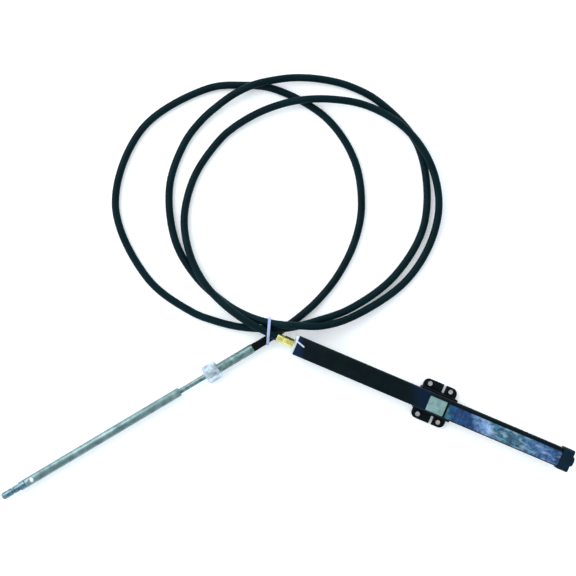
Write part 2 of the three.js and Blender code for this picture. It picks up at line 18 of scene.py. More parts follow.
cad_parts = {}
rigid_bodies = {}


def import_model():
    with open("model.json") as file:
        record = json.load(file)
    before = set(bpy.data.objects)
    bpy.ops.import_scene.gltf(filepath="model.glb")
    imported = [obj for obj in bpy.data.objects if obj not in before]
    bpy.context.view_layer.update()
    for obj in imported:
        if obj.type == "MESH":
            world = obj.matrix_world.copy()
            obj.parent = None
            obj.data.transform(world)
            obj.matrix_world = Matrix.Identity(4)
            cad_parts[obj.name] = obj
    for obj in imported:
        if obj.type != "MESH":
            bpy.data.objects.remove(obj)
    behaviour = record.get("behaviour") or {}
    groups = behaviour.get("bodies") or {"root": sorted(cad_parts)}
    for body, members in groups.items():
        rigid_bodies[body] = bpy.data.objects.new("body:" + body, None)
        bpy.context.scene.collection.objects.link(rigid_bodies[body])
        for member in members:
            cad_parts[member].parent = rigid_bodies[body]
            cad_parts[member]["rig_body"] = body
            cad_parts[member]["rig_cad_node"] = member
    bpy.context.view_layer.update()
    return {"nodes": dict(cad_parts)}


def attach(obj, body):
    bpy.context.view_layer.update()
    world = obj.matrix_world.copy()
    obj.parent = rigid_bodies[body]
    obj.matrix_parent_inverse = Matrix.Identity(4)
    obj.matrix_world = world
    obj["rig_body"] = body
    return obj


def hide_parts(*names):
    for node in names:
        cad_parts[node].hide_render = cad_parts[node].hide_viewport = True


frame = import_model()

LOG = logging.getLogger("steering_cable")

Colour = tuple[float, float, float]
Profile = Sequence[tuple[float, float]]

# The middle of the bracket, seen from the part's origin.
BRACKET_MIDDLE = Vector((-0.026, 0.0, 0.0))
# The clearance between pieces that touch.
GAP = 0.0003
RACK_AXIS_Z = 0.0338
TUBE_START = -0.2675
TUBE_END = 0.25
TUBE_WIDTH = 0.035
TUBE_HEIGHT = 0.032
TUBE_TOP = RACK_AXIS_Z + TUBE_HEIGHT / 2
LABEL_START = 0.021
LABEL_END = 0.2367
PINION_Y = -0.004
PINION_BORE = 0.023
SIDES = 64
# How far a cutting tool reaches past the face that it opens.
OVERCUT = 0.002
# A hair's difference, which keeps the faces of two cutting tools off one plane.
HAIR = 0.0001


def linear(red: int, green: int, blue: int) -> Colour:
    """Turns a screen colour into the linear one that shaders take.

    Args:
        red: Red from 0 to 255.
        green: Green from 0 to 255.
        blue: Blue from 0 to 255.

    Returns:
        The linear colour.
    """

    def one(value: int) -> float:
        """Returns one channel as linear light."""
        share = value / 255
        return share / 12.92 if share <= 0.04045 else ((share + 0.055) / 1.055) ** 2.4

    return one(red), one(green), one(blue)


class Axis(Enum):
    """The two axes that turned pieces stand on: a point on it and its heading in degrees."""

    RACK = ((0.0, 0.0, RACK_AXIS_Z), 0.0)
    OUTPUT = ((-0.3357, -0.0353, 0.0143), -126.24)

    @property
    def direction(self) -> Vector:
        """Returns the way the axis points."""
        angle = math.radians(self.value[1])
        return Vector((math.cos(angle), math.sin(angle), 0.0))

    @property
    def place(self) -> Matrix:
        """Returns the matrix that takes local +Z along the axis and local +Y up."""
        ahead = self.direction
        aside = Vector((-ahead.y, ahead.x, 0.0))
        turn = Matrix((aside, Vector((0.0, 0.0, 1.0)), ahead)).transposed().to_4x4()
        return Matrix.Translation(BRACKET_MIDDLE + Vector(self.value[0])) @ turn

    def at(self, along: float, aside: float = 0.0, up: float = 0.0) -> Vector:
        """Returns the point this far along the axis.

        Args:
            along: Distance along the axis.
            aside: Distance to its left.
            up: Height over it.

        Returns:
            The point in the part's frame.
        """
        return self.place @ Vector((aside, up, along))


# Modelling tools.


def clear_selection() -> None:
    """Leaves edit mode and deselects every object."""
    if bpy.context.object and bpy.context.object.mode != "OBJECT":
        bpy.ops.object.mode_set(mode="OBJECT")
    bpy.ops.object.select_all(action="DESELECT")


def take(obj: bpy.types.Object) -> None:
    """Makes one object the only selected and the active one."""
    clear_selection()
    obj.select_set(True)
    bpy.context.view_layer.objects.active = obj


def named(name: str) -> bpy.types.Object:
    """Names the object that an operator just made, and returns it."""
    obj = bpy.context.active_object
    obj.name = name
    obj.data.name = name
    return obj


def settle(obj: bpy.types.Object, place: Matrix | None = None) -> None:
    """Puts the object's place into its mesh.

    Args:
        obj: The object.
        place: A matrix to move it by first.
    """
    take(obj)
    if place is not None:
        obj.matrix_world = place @ obj.matrix_world
    bpy.ops.object.transform_apply(location=True, rotation=True, scale=True)


def box(name: str, low: Sequence[float], high: Sequence[float]) -> bpy.types.Object:
    """Adds a box between two corners.

    Args:
        name: The new object's name.
        low: The lowest corner.
        high: The highest corner.

    Returns:
        The box, with its place in its mesh.
    """
    corner, far = Vector(low), Vector(high)
    clear_selection()
    bpy.ops.mesh.primitive_cube_add(size=1, location=(corner + far) / 2, scale=far - corner)
    obj = named(name)
    settle(obj)
    return obj


def edit_edges(obj: bpy.types.Object, chosen: Callable[[Vector, Vector], bool]) -> None:
    """Enters edit mode with the edges selected that pass a test of their two ends."""
    take(obj)
    bpy.ops.object.mode_set(mode="EDIT")
    bpy.ops.mesh.select_mode(type="EDGE")
    bpy.ops.mesh.select_all(action="DESELECT")
    mesh = bmesh.from_edit_mesh(obj.data)
    for edge in mesh.edges:
        edge.select_set(chosen(edge.verts[0].co, edge.verts[1].co))
    bmesh.update_edit_mesh(obj.data)


def leave_edit() -> None:
    """Goes back to object mode."""
    bpy.ops.object.mode_set(mode="OBJECT")


def bevel_along(obj: bpy.types.Object, axis: int, radius: float, steps: int = 6) -> None:
    """Rounds every edge that runs along one axis.

    Args:
        obj: The box.
        axis: 0, 1 or 2 for X, Y or Z.
        radius: The corner's radius.
        steps: Faces across the corner.
    """

    def runs_along(a: Vector, b: Vector) -> bool:
        """Tells whether an edge runs along the axis."""
        way = b - a
        return abs(way[axis]) > 0.999 * way.length

    edit_edges(obj, runs_along)
    bpy.ops.mesh.bevel(offset=radius, segments=steps, affect="EDGES")
    leave_edit()


def finish_edges(obj: bpy.types.Object, width: float, steps: int = 2, angle: float = 30) -> None:
    """Rounds the sharp edges with a bevel modifier, applied, and shades the rest smooth.

    Args:
        obj: The piece.
        width: The bevel's width, or 0 for none.
        steps: Faces across the bevel.
        angle: The angle in degrees past which an edge counts as sharp.
    """
    take(obj)
    if width > 0:
        modifier = obj.modifiers.new("edges", "BEVEL")
        modifier.width = width
        modifier.segments = steps
        modifier.limit_method = "ANGLE"
        modifier.angle_limit = math.radians(angle)
        modifier.use_clamp_overlap = True
        modifier.harden_normals = False
        bpy.ops.object.modifier_apply(modifier=modifier.name)
    bpy.ops.object.shade_smooth_by_angle(angle=math.radians(angle))


class Mix(Enum):
    """Ways to combine two closed meshes."""

    CUT = "DIFFERENCE"
    JOIN = "UNION"
    KEEP_SHARED = "INTERSECT"


def combine(obj: bpy.types.Object, others: Iterable[bpy.types.Object], mix: Mix) -> None:
    """Combines an object with others, which are used up.

    Args:
        obj: The object that is kept.
        others: The objects to cut with, join or intersect.
        mix: Which of these.
    """
    for other in others:
        take(obj)
        modifier = obj.modifiers.new("mix", "BOOLEAN")
        modifier.operation = mix.value
        modifier.solver = "EXACT"
        modifier.object = other
        bpy.ops.object.modifier_apply(modifier=modifier.name)
        bpy.data.meshes.remove(other.data)


def turned(name: str, profile: Profile, place: Matrix, sides: int = SIDES) -> bpy.types.Object:
    """Turns a body: a disc is extruded along local +Z and sized again at each step.

    Args:
        name: The new object's name.
        profile: Pairs of distance along the axis and radius, from one end to the other.
        place: Where local +Z lies.
        sides: Faces round it.

    Returns:
        The closed body.
    """
    along, radius = profile[0]
    clear_selection()
    bpy.ops.mesh.primitive_circle_add(
        vertices=sides, radius=radius, fill_type="NGON", location=(0, 0, along)
    )
    obj = named(name)
    settle(obj)
    bpy.ops.object.mode_set(mode="EDIT")
    bpy.ops.mesh.select_mode(type="FACE")
    bpy.ops.mesh.select_all(action="SELECT")
    for next_along, next_radius in profile[1:]:
        step = (0, 0, next_along - along)
        bpy.ops.mesh.extrude_region_move(TRANSFORM_OT_translate={"value": step})
        share = next_radius / radius
        bpy.ops.transform.resize(value=(share, share, 1), center_override=(0, 0, next_along))
        along, radius = next_along, next_radius
    bpy.ops.mesh.select_all(action="SELECT")
    bpy.ops.mesh.normals_make_consistent(inside=False)
    leave_edit()
    settle(obj, place)
    return obj


def hexagonal(name: str, across: float, start: float, end: float, chamfer: float,
              place: Matrix) -> bpy.types.Object:
    """Makes a hexagon bar with its corners turned off at both ends.

    Args:
        name: The new object's name.
        across: Width across the flats.
        start: Where it starts along local +Z.
        end: Where it ends.
        chamfer: How far from each end the turned corners reach.
        place: Where local +Z lies.

    Returns:
        The closed bar.
    """
    corner = across / math.sqrt(3)
    clear_selection()
    bpy.ops.mesh.primitive_cylinder_add(
        vertices=6, radius=corner, depth=end - start, location=(0, 0, (start + end) / 2)
    )
    obj = named(name)
    obj.rotation_euler.z = math.radians(30)
    settle(obj)
    settle(obj, place)
    flat = across / 2 * 0.985
    rim = corner * 1.002
    profile = [(start, flat), (start + chamfer, rim), (end - chamfer, rim), (end, flat)]
    combine(obj, [turned(f"{name}_lathe", profile, place)], Mix.KEEP_SHARED)
    return obj


def upright(name: str, x: float, y: float, diameter: float, low: float, high: float,
            sides: int = 40) -> bpy.types.Object:
    """Makes an upright cylinder in the part's frame, as a boss or as a drill."""
    clear_selection()
    bpy.ops.mesh.primitive_cylinder_add(
        vertices=sides, radius=diameter / 2, depth=high - low, location=(x, y, (low + high) / 2)
    )
    obj = named(name)
    settle(obj)
    return obj


# Finishes.


class Sheet:
    """A short hand for one node tree."""

    def __init__(self, tree: bpy.types.NodeTree) -> None:
        """Keeps the tree."""
        self.tree = tree

    def add(self, kind: str, values: dict[str, object] | None = None,
            **settings: object) -> bpy.types.Node:
        """Adds a node.

        Args:
            kind: The node's type.
            values: Values of its input sockets by name.
            **settings: Its own settings.

        Returns:
            The node.
        """
        node = self.tree.nodes.new(kind)
        for key, value in settings.items():
            setattr(node, key, value)
        for key, value in (values or {}).items():
            node.inputs[key].default_value = value
        return node

    def link(self, source: bpy.types.NodeSocket, target: bpy.types.NodeSocket) -> None:
        """Links two sockets."""
        self.tree.links.new(source, target)

    def mix(self, share: object, first: object, second: object,
            blend: str = "MIX") -> bpy.types.NodeSocket:
        """Mixes two colours.

        Args:
            share: How much of the second, a socket or a number.
            first: The first colour, a socket or four numbers.
            second: The second colour, likewise.
            blend: The way to mix them.

        Returns:
            The mixed colour's socket.
        """
        node = self.add("ShaderNodeMix", data_type="RGBA", blend_type=blend)
        for key, value in (("Factor", share), ("A", first), ("B", second)):
            if isinstance(value, bpy.types.NodeSocket):
                self.link(value, node.inputs[key])
            else:
                node.inputs[key].default_value = value
        return node.outputs["Result"]

    def spread(self, source: bpy.types.NodeSocket, low: float, high: float, start: float = 0.0,
               end: float = 1.0) -> bpy.types.NodeSocket:
        """Maps a value on to another range, and holds it there.

        Args:
            source: The value.
            low: What the range's start becomes.
            high: What the range's end becomes.
            start: The value's range starts here.
            end: The value's range ends here.

        Returns:
            The mapped value's socket.
        """
        node = self.add("ShaderNodeMapRange", {"From Min": start, "From Max": end,
                                               "To Min": low, "To Max": high})
        self.link(source, node.inputs["Value"])
        return node.outputs["Result"]

    def product(self, first: bpy.types.NodeSocket,
                second: bpy.types.NodeSocket) -> bpy.types.NodeSocket:
        """Multiplies two values and returns the product's socket."""
        node = self.add("ShaderNodeMath", operation="MULTIPLY")
        self.link(first, node.inputs[0])
        self.link(second, node.inputs[1])
        return node.outputs[0]

    def ramp(self, stops: Sequence[tuple[float, Colour]], smooth: bool = True) -> bpy.types.Node:
        """Adds a colour ramp.

        Args:
            stops: Pairs of place and colour.
            smooth: Whether colours run into each other.

        Returns:
            The ramp.
        """
        node = self.add("ShaderNodeValToRGB")
        band = node.color_ramp
        band.interpolation = "EASE" if smooth else "CONSTANT"
        while len(band.elements) < len(stops):
            band.elements.new(0.5)
        for element, (place, colour) in zip(band.elements, stops):
            element.position = place
            element.color = (*colour, 1)
        return node


def new_group(name: str, numbers: dict[str, float], colours: dict[str, Colour],
              outputs: dict[str, str]) -> tuple[bpy.types.NodeTree, Sheet, bpy.types.Node,
                                                bpy.types.Node]:
    """Starts a shader node group with named sockets.

    Args:
        name: The group's name.
        numbers: Its number inputs and their defaults.
        colours: Its colour inputs and their defaults.
        outputs: Its outputs and their socket types.

    Returns:
        The tree, its sheet, its input node and its output node.
    """
    tree = bpy.data.node_groups.new(name, "ShaderNodeTree")
    for key, value in numbers.items():
        socket = tree.interface.new_socket(key, in_out="INPUT", socket_type="NodeSocketFloat")
        socket.default_value = value
    for key, colour in colours.items():
        socket = tree.interface.new_socket(key, in_out="INPUT", socket_type="NodeSocketColor")
        socket.default_value = (*colour, 1)
    for key, kind in outputs.items():
        tree.interface.new_socket(key, in_out="OUTPUT", socket_type=kind)
    sheet = Sheet(tree)
    return tree, sheet, sheet.add("NodeGroupInput"), sheet.add("NodeGroupOutput")


class SharedEffects:
    """The node groups that several finishes use."""

    def __init__(self) -> None:
        """Builds each group once."""
        self.mottle = self.build_mottle()
        self.scuffs = self.build_scuffs()
        self.lathe_marks = self.build_lathe_marks()
        self.slanted_share = self.build_slanted_share()

    @staticmethod
    def build_mottle() -> bpy.types.NodeTree:
        """Builds soft blotches between two colours, and a fine grain for bump."""
        tree, sheet, given, result = new_group(
            "soft mottle",
            {"Scale": 60.0, "Grain": 900.0, "Contrast": 1.0},
            {"Dark": (0.1, 0.1, 0.1), "Light": (0.3, 0.3, 0.3)},
            {"Color": "NodeSocketColor", "Mask": "NodeSocketFloat", "Grain": "NodeSocketFloat"},
        )
        where = sheet.add("ShaderNodeTexCoord")
        broad = sheet.add("ShaderNodeTexNoise", {"Detail": 5.0, "Roughness": 0.62})
        fine = sheet.add("ShaderNodeTexNoise", {"Detail": 3.0, "Roughness": 0.6})
        level = sheet.add("ShaderNodeMath", operation="SUBTRACT")
        level.inputs[1].default_value = 0.5
        spread = sheet.add("ShaderNodeMath", operation="MULTIPLY_ADD", use_clamp=True)
        spread.inputs[2].default_value = 0.5
        sheet.link(where.outputs["Object"], broad.inputs["Vector"])
        sheet.link(where.outputs["Object"], fine.inputs["Vector"])
        sheet.link(given.outputs["Scale"], broad.inputs["Scale"])
        sheet.link(given.outputs["Grain"], fine.inputs["Scale"])
        sheet.link(broad.outputs["Fac"], level.inputs[0])
        sheet.link(level.outputs[0], spread.inputs[0])
        sheet.link(given.outputs["Contrast"], spread.inputs[1])
        mixed = sheet.mix(spread.outputs[0], given.outputs["Dark"], given.outputs["Light"])
        sheet.link(mixed, result.inputs["Color"])
        sheet.link(spread.outputs[0], result.inputs["Mask"])
        sheet.link(fine.outputs["Fac"], result.inputs["Grain"])
        return tree

    @staticmethod
    def build_scuffs() -> bpy.types.NodeTree:
        """Builds thin, sparse scratches as a mask."""
        tree, sheet, given, result = new_group(
            "fine scuffs", {"Scale": 90.0, "Amount": 0.3}, {}, {"Mask": "NodeSocketFloat"}
        )
        where = sheet.add("ShaderNodeTexCoord")
        turn = sheet.add("ShaderNodeMapping", {"Rotation": (0.0, 0.0, 0.6),
                                               "Scale": (1.0, 9.0, 4.0)})
        noise = sheet.add("ShaderNodeTexNoise", {"Detail": 6.0, "Roughness": 0.7})
        sheet.link(where.outputs["Object"], turn.inputs["Vector"])
        sheet.link(turn.outputs["Vector"], noise.inputs["Vector"])
        sheet.link(given.outputs["Scale"], noise.inputs["Scale"])
        scratch = sheet.spread(noise.outputs["Fac"], 0.0, 1.0, 0.6, 0.72)
        sheet.link(sheet.product(scratch, given.outputs["Amount"]), result.inputs["Mask"])
        return tree

    @staticmethod
    def build_lathe_marks() -> bpy.types.NodeTree:
        """Builds rings round the output axis: a wavy height and a light and dark mask."""
        tree, sheet, given, result = new_group(
            "lathe marks", {"Rings": 900.0, "Patches": 40.0}, {},
            {"Height": "NodeSocketFloat", "Mask": "NodeSocketFloat"},
        )
        where = sheet.add("ShaderNodeTexCoord")
        ahead = sheet.add("ShaderNodeVectorMath", operation="DOT_PRODUCT")
        ahead.inputs[1].default_value = Axis.OUTPUT.direction
        rings = sheet.add("ShaderNodeTexNoise", {"Detail": 2.0, "Roughness": 0.7},
                          noise_dimensions="1D")
        patches = sheet.add("ShaderNodeTexNoise", {"Detail": 4.0, "Roughness": 0.6})
        sheet.link(where.outputs["Object"], ahead.inputs[0])
        sheet.link(ahead.outputs["Value"], rings.inputs["W"])
        sheet.link(given.outputs["Rings"], rings.inputs["Scale"])
        sheet.link(where.outputs["Object"], patches.inputs["Vector"])
        sheet.link(given.outputs["Patches"], patches.inputs["Scale"])
        sheet.link(rings.outputs["Fac"], result.inputs["Height"])
        sheet.link(patches.outputs["Fac"], result.inputs["Mask"])
        return tree

    @staticmethod
    def build_slanted_share() -> bpy.types.NodeTree:
        """Builds the share of the way along the tube, in bands that lean across it."""
        tree, sheet, given, result = new_group(
            "slanted share", {"Start": 0.0, "End": 1.0, "Slant": 0.5}, {},
            {"Share": "NodeSocketFloat"},
        )
        where = sheet.add("ShaderNodeTexCoord")
        apart = sheet.add("ShaderNodeSeparateXYZ")
        slanted = sheet.add("ShaderNodeMath", operation="MULTIPLY_ADD")
        share = sheet.add("ShaderNodeMapRange")
        sheet.link(where.outputs["Object"], apart.inputs["Vector"])
        sheet.link(apart.outputs["Y"], slanted.inputs[0])
        sheet.link(given.outputs["Slant"], slanted.inputs[1])
        sheet.link(apart.outputs["X"], slanted.inputs[2])
        sheet.link(slanted.outputs[0], share.inputs["Value"])
        sheet.link(given.outputs["Start"], share.inputs["From Min"])
        sheet.link(given.outputs["End"], share.inputs["From Max"])
        sheet.link(share.outputs["Result"], result.inputs["Share"])
        return tree


EFFECTS = SharedEffects()


def start_material(name: str) -> tuple[bpy.types.Material, Sheet, bpy.types.Node]:
    """Starts a node material.

    Args:
        name: Its name.

    Returns:
        The material, its sheet and its shader node.
    """
    material = bpy.data.materials.new(name)
    material.use_nodes = True
    return material, Sheet(material.node_tree), material.node_tree.nodes["Principled BSDF"]


def place_group(sheet: Sheet, tree: bpy.types.NodeTree,
                values: dict[str, object]) -> bpy.types.Node:
    """Places a shared group in a material with its own values."""
    node = sheet.add("ShaderNodeGroup", node_tree=tree)
    for key, value in values.items():
        node.inputs[key].default_value = value
    return node


def bump(sheet: Sheet, shader: bpy.types.Node, height: bpy.types.NodeSocket, depth: float) -> None:
    """Gives a shader a bump of this depth in metres."""
    node = sheet.add("ShaderNodeBump", {"Strength": 1.0, "Distance": depth})
    sheet.link(height, node.inputs["Height"])
    sheet.link(node.outputs["Normal"], shader.inputs["Normal"])


def share_along(sheet: Sheet, start: float, end: float,
                slant: float) -> bpy.types.NodeSocket:
    """Returns the share of the way between two places along the tube, leaning across it."""
    node = place_group(sheet, EFFECTS.slanted_share, {
        "Start": BRACKET_MIDDLE.x + start, "End": BRACKET_MIDDLE.x + end, "Slant": slant,
    })
    return node.outputs["Share"]


@dataclass(frozen=True)
class PaintedNavyReflection:
    """A painted navy reflection at two places along the rack tube: by the plug and by the grey
    plate.
    """

    colour: Colour = linear(8, 32, 60)
    slant: float = 0.4
    # Shares of the tube's length, and how strong the painted navy reflection is there.
    places: tuple[tuple[float, float], ...] = (
        (0.0, 0.8), (0.018, 0.7), (0.03, 0.0), (0.4, 0.0), (0.47, 0.45), (0.49, 0.45),
        (0.52, 0.0),
    )

    def paint_reflection(self, sheet: Sheet, colour: bpy.types.NodeSocket) -> bpy.types.NodeSocket:
        """Mixes the painted navy reflection into a colour and returns the mixed colour's socket.
        """
        ramp = sheet.ramp([(place, (level, level, level)) for place, level in self.places])
        sheet.link(share_along(sheet, TUBE_START, TUBE_END, self.slant), ramp.inputs["Fac"])
        return sheet.mix(ramp.outputs["Color"], colour, (*self.colour, 1))


@dataclass(frozen=True)
class Coated:
    """Paint, enamel, rubber or plastic: two close colours, a grain, a few scuffs and an optional
    painted reflection.
    """

    name: str
    dark: Colour
    light: Colour
    scuffed: Colour
    roughness: tuple[float, float]
    scale: float = 60.0
    grain: float = 900.0
    contrast: float = 1.6
    depth: float = 0.00004
    scuffs: float = 0.25
    scuff_scale: float = 70.0
    specular: float = 0.15
    painted_reflection: PaintedNavyReflection | None = None

    def build(self) -> bpy.types.Material:
        """Builds the material and returns it."""
        material, sheet, shader = start_material(self.name)
        mottle = place_group(sheet, EFFECTS.mottle, {
            "Scale": self.scale, "Grain": self.grain, "Contrast": self.contrast,
            "Dark": (*self.dark, 1), "Light": (*self.light, 1),
        })
        scuffs = place_group(sheet, EFFECTS.scuffs,
                             {"Scale": self.scuff_scale, "Amount": self.scuffs})
        colour = mottle.outputs["Color"]
        # A painted navy reflection, where one is given, is mixed in before the scuffs.
        if self.painted_reflection:
            colour = self.painted_reflection.paint_reflection(sheet, colour)
        worn = sheet.mix(scuffs.outputs["Mask"], colour, (*self.scuffed, 1))
        rough = sheet.spread(mottle.outputs["Mask"], *self.roughness)
        sheet.link(worn, shader.inputs["Base Color"])
        sheet.link(rough, shader.inputs["Roughness"])
        shader.inputs["Specular IOR Level"].default_value = self.specular
        bump(sheet, shader, mottle.outputs["Grain"], self.depth)
        return material


@dataclass(frozen=True)
class Metal:
    """Bare or plated metal: lathe rings, soft patches and a grain."""

    name: str
    dark: Colour
    light: Colour
    roughness: tuple[float, float]
    rings: float = 1500.0
    patches: float = 60.0
    patch_range: tuple[float, float] = (0.3, 0.7)
    depth: float = 0.00002
    metallic: float = 1.0

    def build(self) -> bpy.types.Material:
        """Builds the material and returns it."""
        material, sheet, shader = start_material(self.name)
        marks = place_group(sheet, EFFECTS.lathe_marks,
                            {"Rings": self.rings, "Patches": self.patches})
        level = sheet.spread(marks.outputs["Mask"], 0.0, 1.0, *self.patch_range)
        colour = sheet.mix(level, (*self.dark, 1), (*self.light, 1))
        rough = sheet.spread(marks.outputs["Height"], *self.roughness)
        sheet.link(colour, shader.inputs["Base Color"])
        sheet.link(rough, shader.inputs["Roughness"])
        shader.inputs["Metallic"].default_value = self.metallic
        bump(sheet, shader, marks.outputs["Height"], self.depth)
        return material


@dataclass(frozen=True)
class PrintedLabel:
    """A plain printed film: slanted bands of blues under a thin gloss coat, with soft blotches
    all over and pale streaks past the first band."""

    name: str = "printed blue film"
    slant: float = 0.6
    # Shares of the film's length, and its colour there.
    bands: tuple[tuple[float, Colour], ...] = (
        (0.0, linear(44, 104, 124)),
        (0.035, linear(16, 70, 116)),
        (0.2, linear(14, 62, 112)),
        (0.28, linear(96, 134, 180)),
        (0.36, linear(132, 164, 202)),
        (0.43, linear(54, 108, 132)),
        (0.6, linear(56, 104, 128)),
        (0.72, linear(70, 118, 158)),
        (0.86, linear(56, 98, 152)),
        (1.0, linear(32, 80, 128)),
    )
    blotch_dark: Colour = linear(92, 108, 128)
    blotch_light: Colour = linear(250, 250, 252)
    blotch_share: float = 0.8
    pale: Colour = linear(176, 200, 216)
    streak_scale: tuple[float, float, float] = (0.45, 1.3, 1.0)
    streak_level: tuple[float, float] = (0.5, 0.74)
    streak_share: float = 0.5
    streaks_from: tuple[float, float] = (0.2, 0.34)
    roughness: float = 0.34
    specular: float = 0.2
    coat: float = 0.15
    coat_roughness: float = 0.15
    depth: float = 0.00005

    def build(self) -> bpy.types.Material:
        """Builds the material and returns it."""
        material, sheet, shader = start_material(self.name)
        share = share_along(sheet, LABEL_START, LABEL_END, self.slant)
        ramp = sheet.ramp(self.bands)
        sheet.link(share, ramp.inputs["Fac"])
        mottle = place_group(sheet, EFFECTS.mottle, {
            "Scale": 150.0, "Grain": 2600.0, "Contrast": 5.0,
            "Dark": (*self.blotch_dark, 1), "Light": (*self.blotch_light, 1),
        })
        blotched = sheet.mix(self.blotch_share, ramp.outputs["Color"], mottle.outputs["Color"],
                             "MULTIPLY")
        streaked = sheet.mix(self.streaks(sheet, share), blotched, (*self.pale, 1))
        sheet.link(streaked, shader.inputs["Base Color"])
        shader.inputs["Roughness"].default_value = self.roughness
        shader.inputs["Specular IOR Level"].default_value = self.specular
        shader.inputs["Coat Weight"].default_value = self.coat
        shader.inputs["Coat Roughness"].default_value = self.coat_roughness
        bump(sheet, shader, mottle.outputs["Mask"], self.depth)
        return material

    def streaks(self, sheet: Sheet, share: bpy.types.NodeSocket) -> bpy.types.NodeSocket:
        """Returns a mask of pale streaks that starts past the first band."""
        where = sheet.add("ShaderNodeTexCoord")
        stretch = sheet.add("ShaderNodeMapping", {"Scale": self.streak_scale})
        noise = sheet.add("ShaderNodeTexNoise", {"Scale": 120.0, "Detail": 3.0,
                                                 "Roughness": 0.5})
        sheet.link(where.outputs["Object"], stretch.inputs["Vector"])
        sheet.link(stretch.outputs["Vector"], noise.inputs["Vector"])
        streak = sheet.spread(noise.outputs["Fac"], 0.0, self.streak_share, *self.streak_level)
        return sheet.product(streak, sheet.spread(share, 0.0, 1.0, *self.streaks_from))


class Finishes:
    """Every finish of the object, built once."""

    def __init__(self) -> None:
        """Builds the materials."""
        # The tube's black enamel carries a painted navy reflection by the plug and by the plate.
        self.enamel = Coated("black enamel with painted navy reflection", linear(2, 11, 14), linear(8, 21, 25),
                             linear(24, 44, 52), (0.34, 0.5), specular=0.05,
                             painted_reflection=PaintedNavyReflection()).build()
        self.casting = Coated("black cast metal", linear(1, 8, 12), linear(5, 18, 25),
                              linear(38, 62, 92), (0.38, 0.55), grain=650.0,
                              depth=0.0001, scuffs=0.25, specular=0.07).build()
        self.jacket = Coated("black cable jacket", linear(0, 15, 20), linear(4, 32, 38),
                             linear(18, 58, 66), (0.38, 0.5), scale=25.0, grain=1200.0,
                             scuffs=0.18, specular=0.05).build()
        self.rubber = Coated("black rubber", linear(2, 7, 9), linear(6, 13, 17),
                             linear(26, 36, 40), (0.6, 0.75), scuffs=0.1,
                             specular=0.05).build()
        self.cap = Coated("moulded black plastic", linear(2, 20, 30), linear(8, 32, 46),
                          linear(52, 84, 106), (0.4, 0.55), scuffs=0.12,
                          specular=0.08).build()
        self.plate = Coated("worn grey plate", linear(78, 111, 117), linear(132, 161, 157),
                            linear(186, 202, 208), (0.4, 0.6), scale=130.0, depth=0.0001,
                            scuffs=0.4).build()
        self.nylon = Coated("white nylon", linear(132, 144, 180), linear(170, 182, 214),
                            linear(206, 212, 230), (0.4, 0.5), scale=200.0, scuffs=0.1).build()
        self.label = PrintedLabel().build()
        self.brass = Metal("turned brass", linear(172, 166, 86), linear(236, 230, 146),
                           (0.2, 0.3), metallic=0.95).build()
        self.zinc = Metal("bright zinc plate", linear(176, 192, 206), linear(222, 232, 240),
                          (0.3, 0.42), metallic=0.45).build()
        self.nut = Metal("zinc-plated nut", linear(126, 144, 162), linear(218, 230, 240),
                         (0.2, 0.32), patches=90.0, metallic=0.95).build()
        self.hub = Metal("dull steel", linear(70, 94, 94), linear(130, 156, 157),
                         (0.4, 0.52), patches=140.0, depth=0.00005).build()
        self.ram = Metal("ground steel", linear(84, 108, 110), linear(132, 156, 158),
                         (0.34, 0.46), rings=2600.0).build()
        self.tip = Metal("bright turned steel", linear(50, 78, 90), linear(124, 152, 164),
                         (0.24, 0.36), patches=120.0).build()
        self.rack = Metal("cut steel", linear(120, 126, 130), linear(150, 156, 160),
                          (0.35, 0.5)).build()


def dress(obj: bpy.types.Object, material: bpy.types.Material) -> None:
    """Gives a piece one finish."""
    obj.data.materials.clear()
    obj.data.materials.append(material)


def stand_for(obj: bpy.types.Object, node: str, body: str,
              material: bpy.types.Material) -> None:
    """Dresses a piece, lets it ride on its body and hides the node that it stands for.

    Args:
        obj: The piece.
        node: The node that it replaces.
        body: The body that it rides on.
        material: Its finish.
    """
    dress(obj, material)
    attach(obj, body)
    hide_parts(node)
    LOG.info("%s: %d faces", obj.name, len(obj.data.polygons) if obj.type == "MESH" else 0)


# The object.


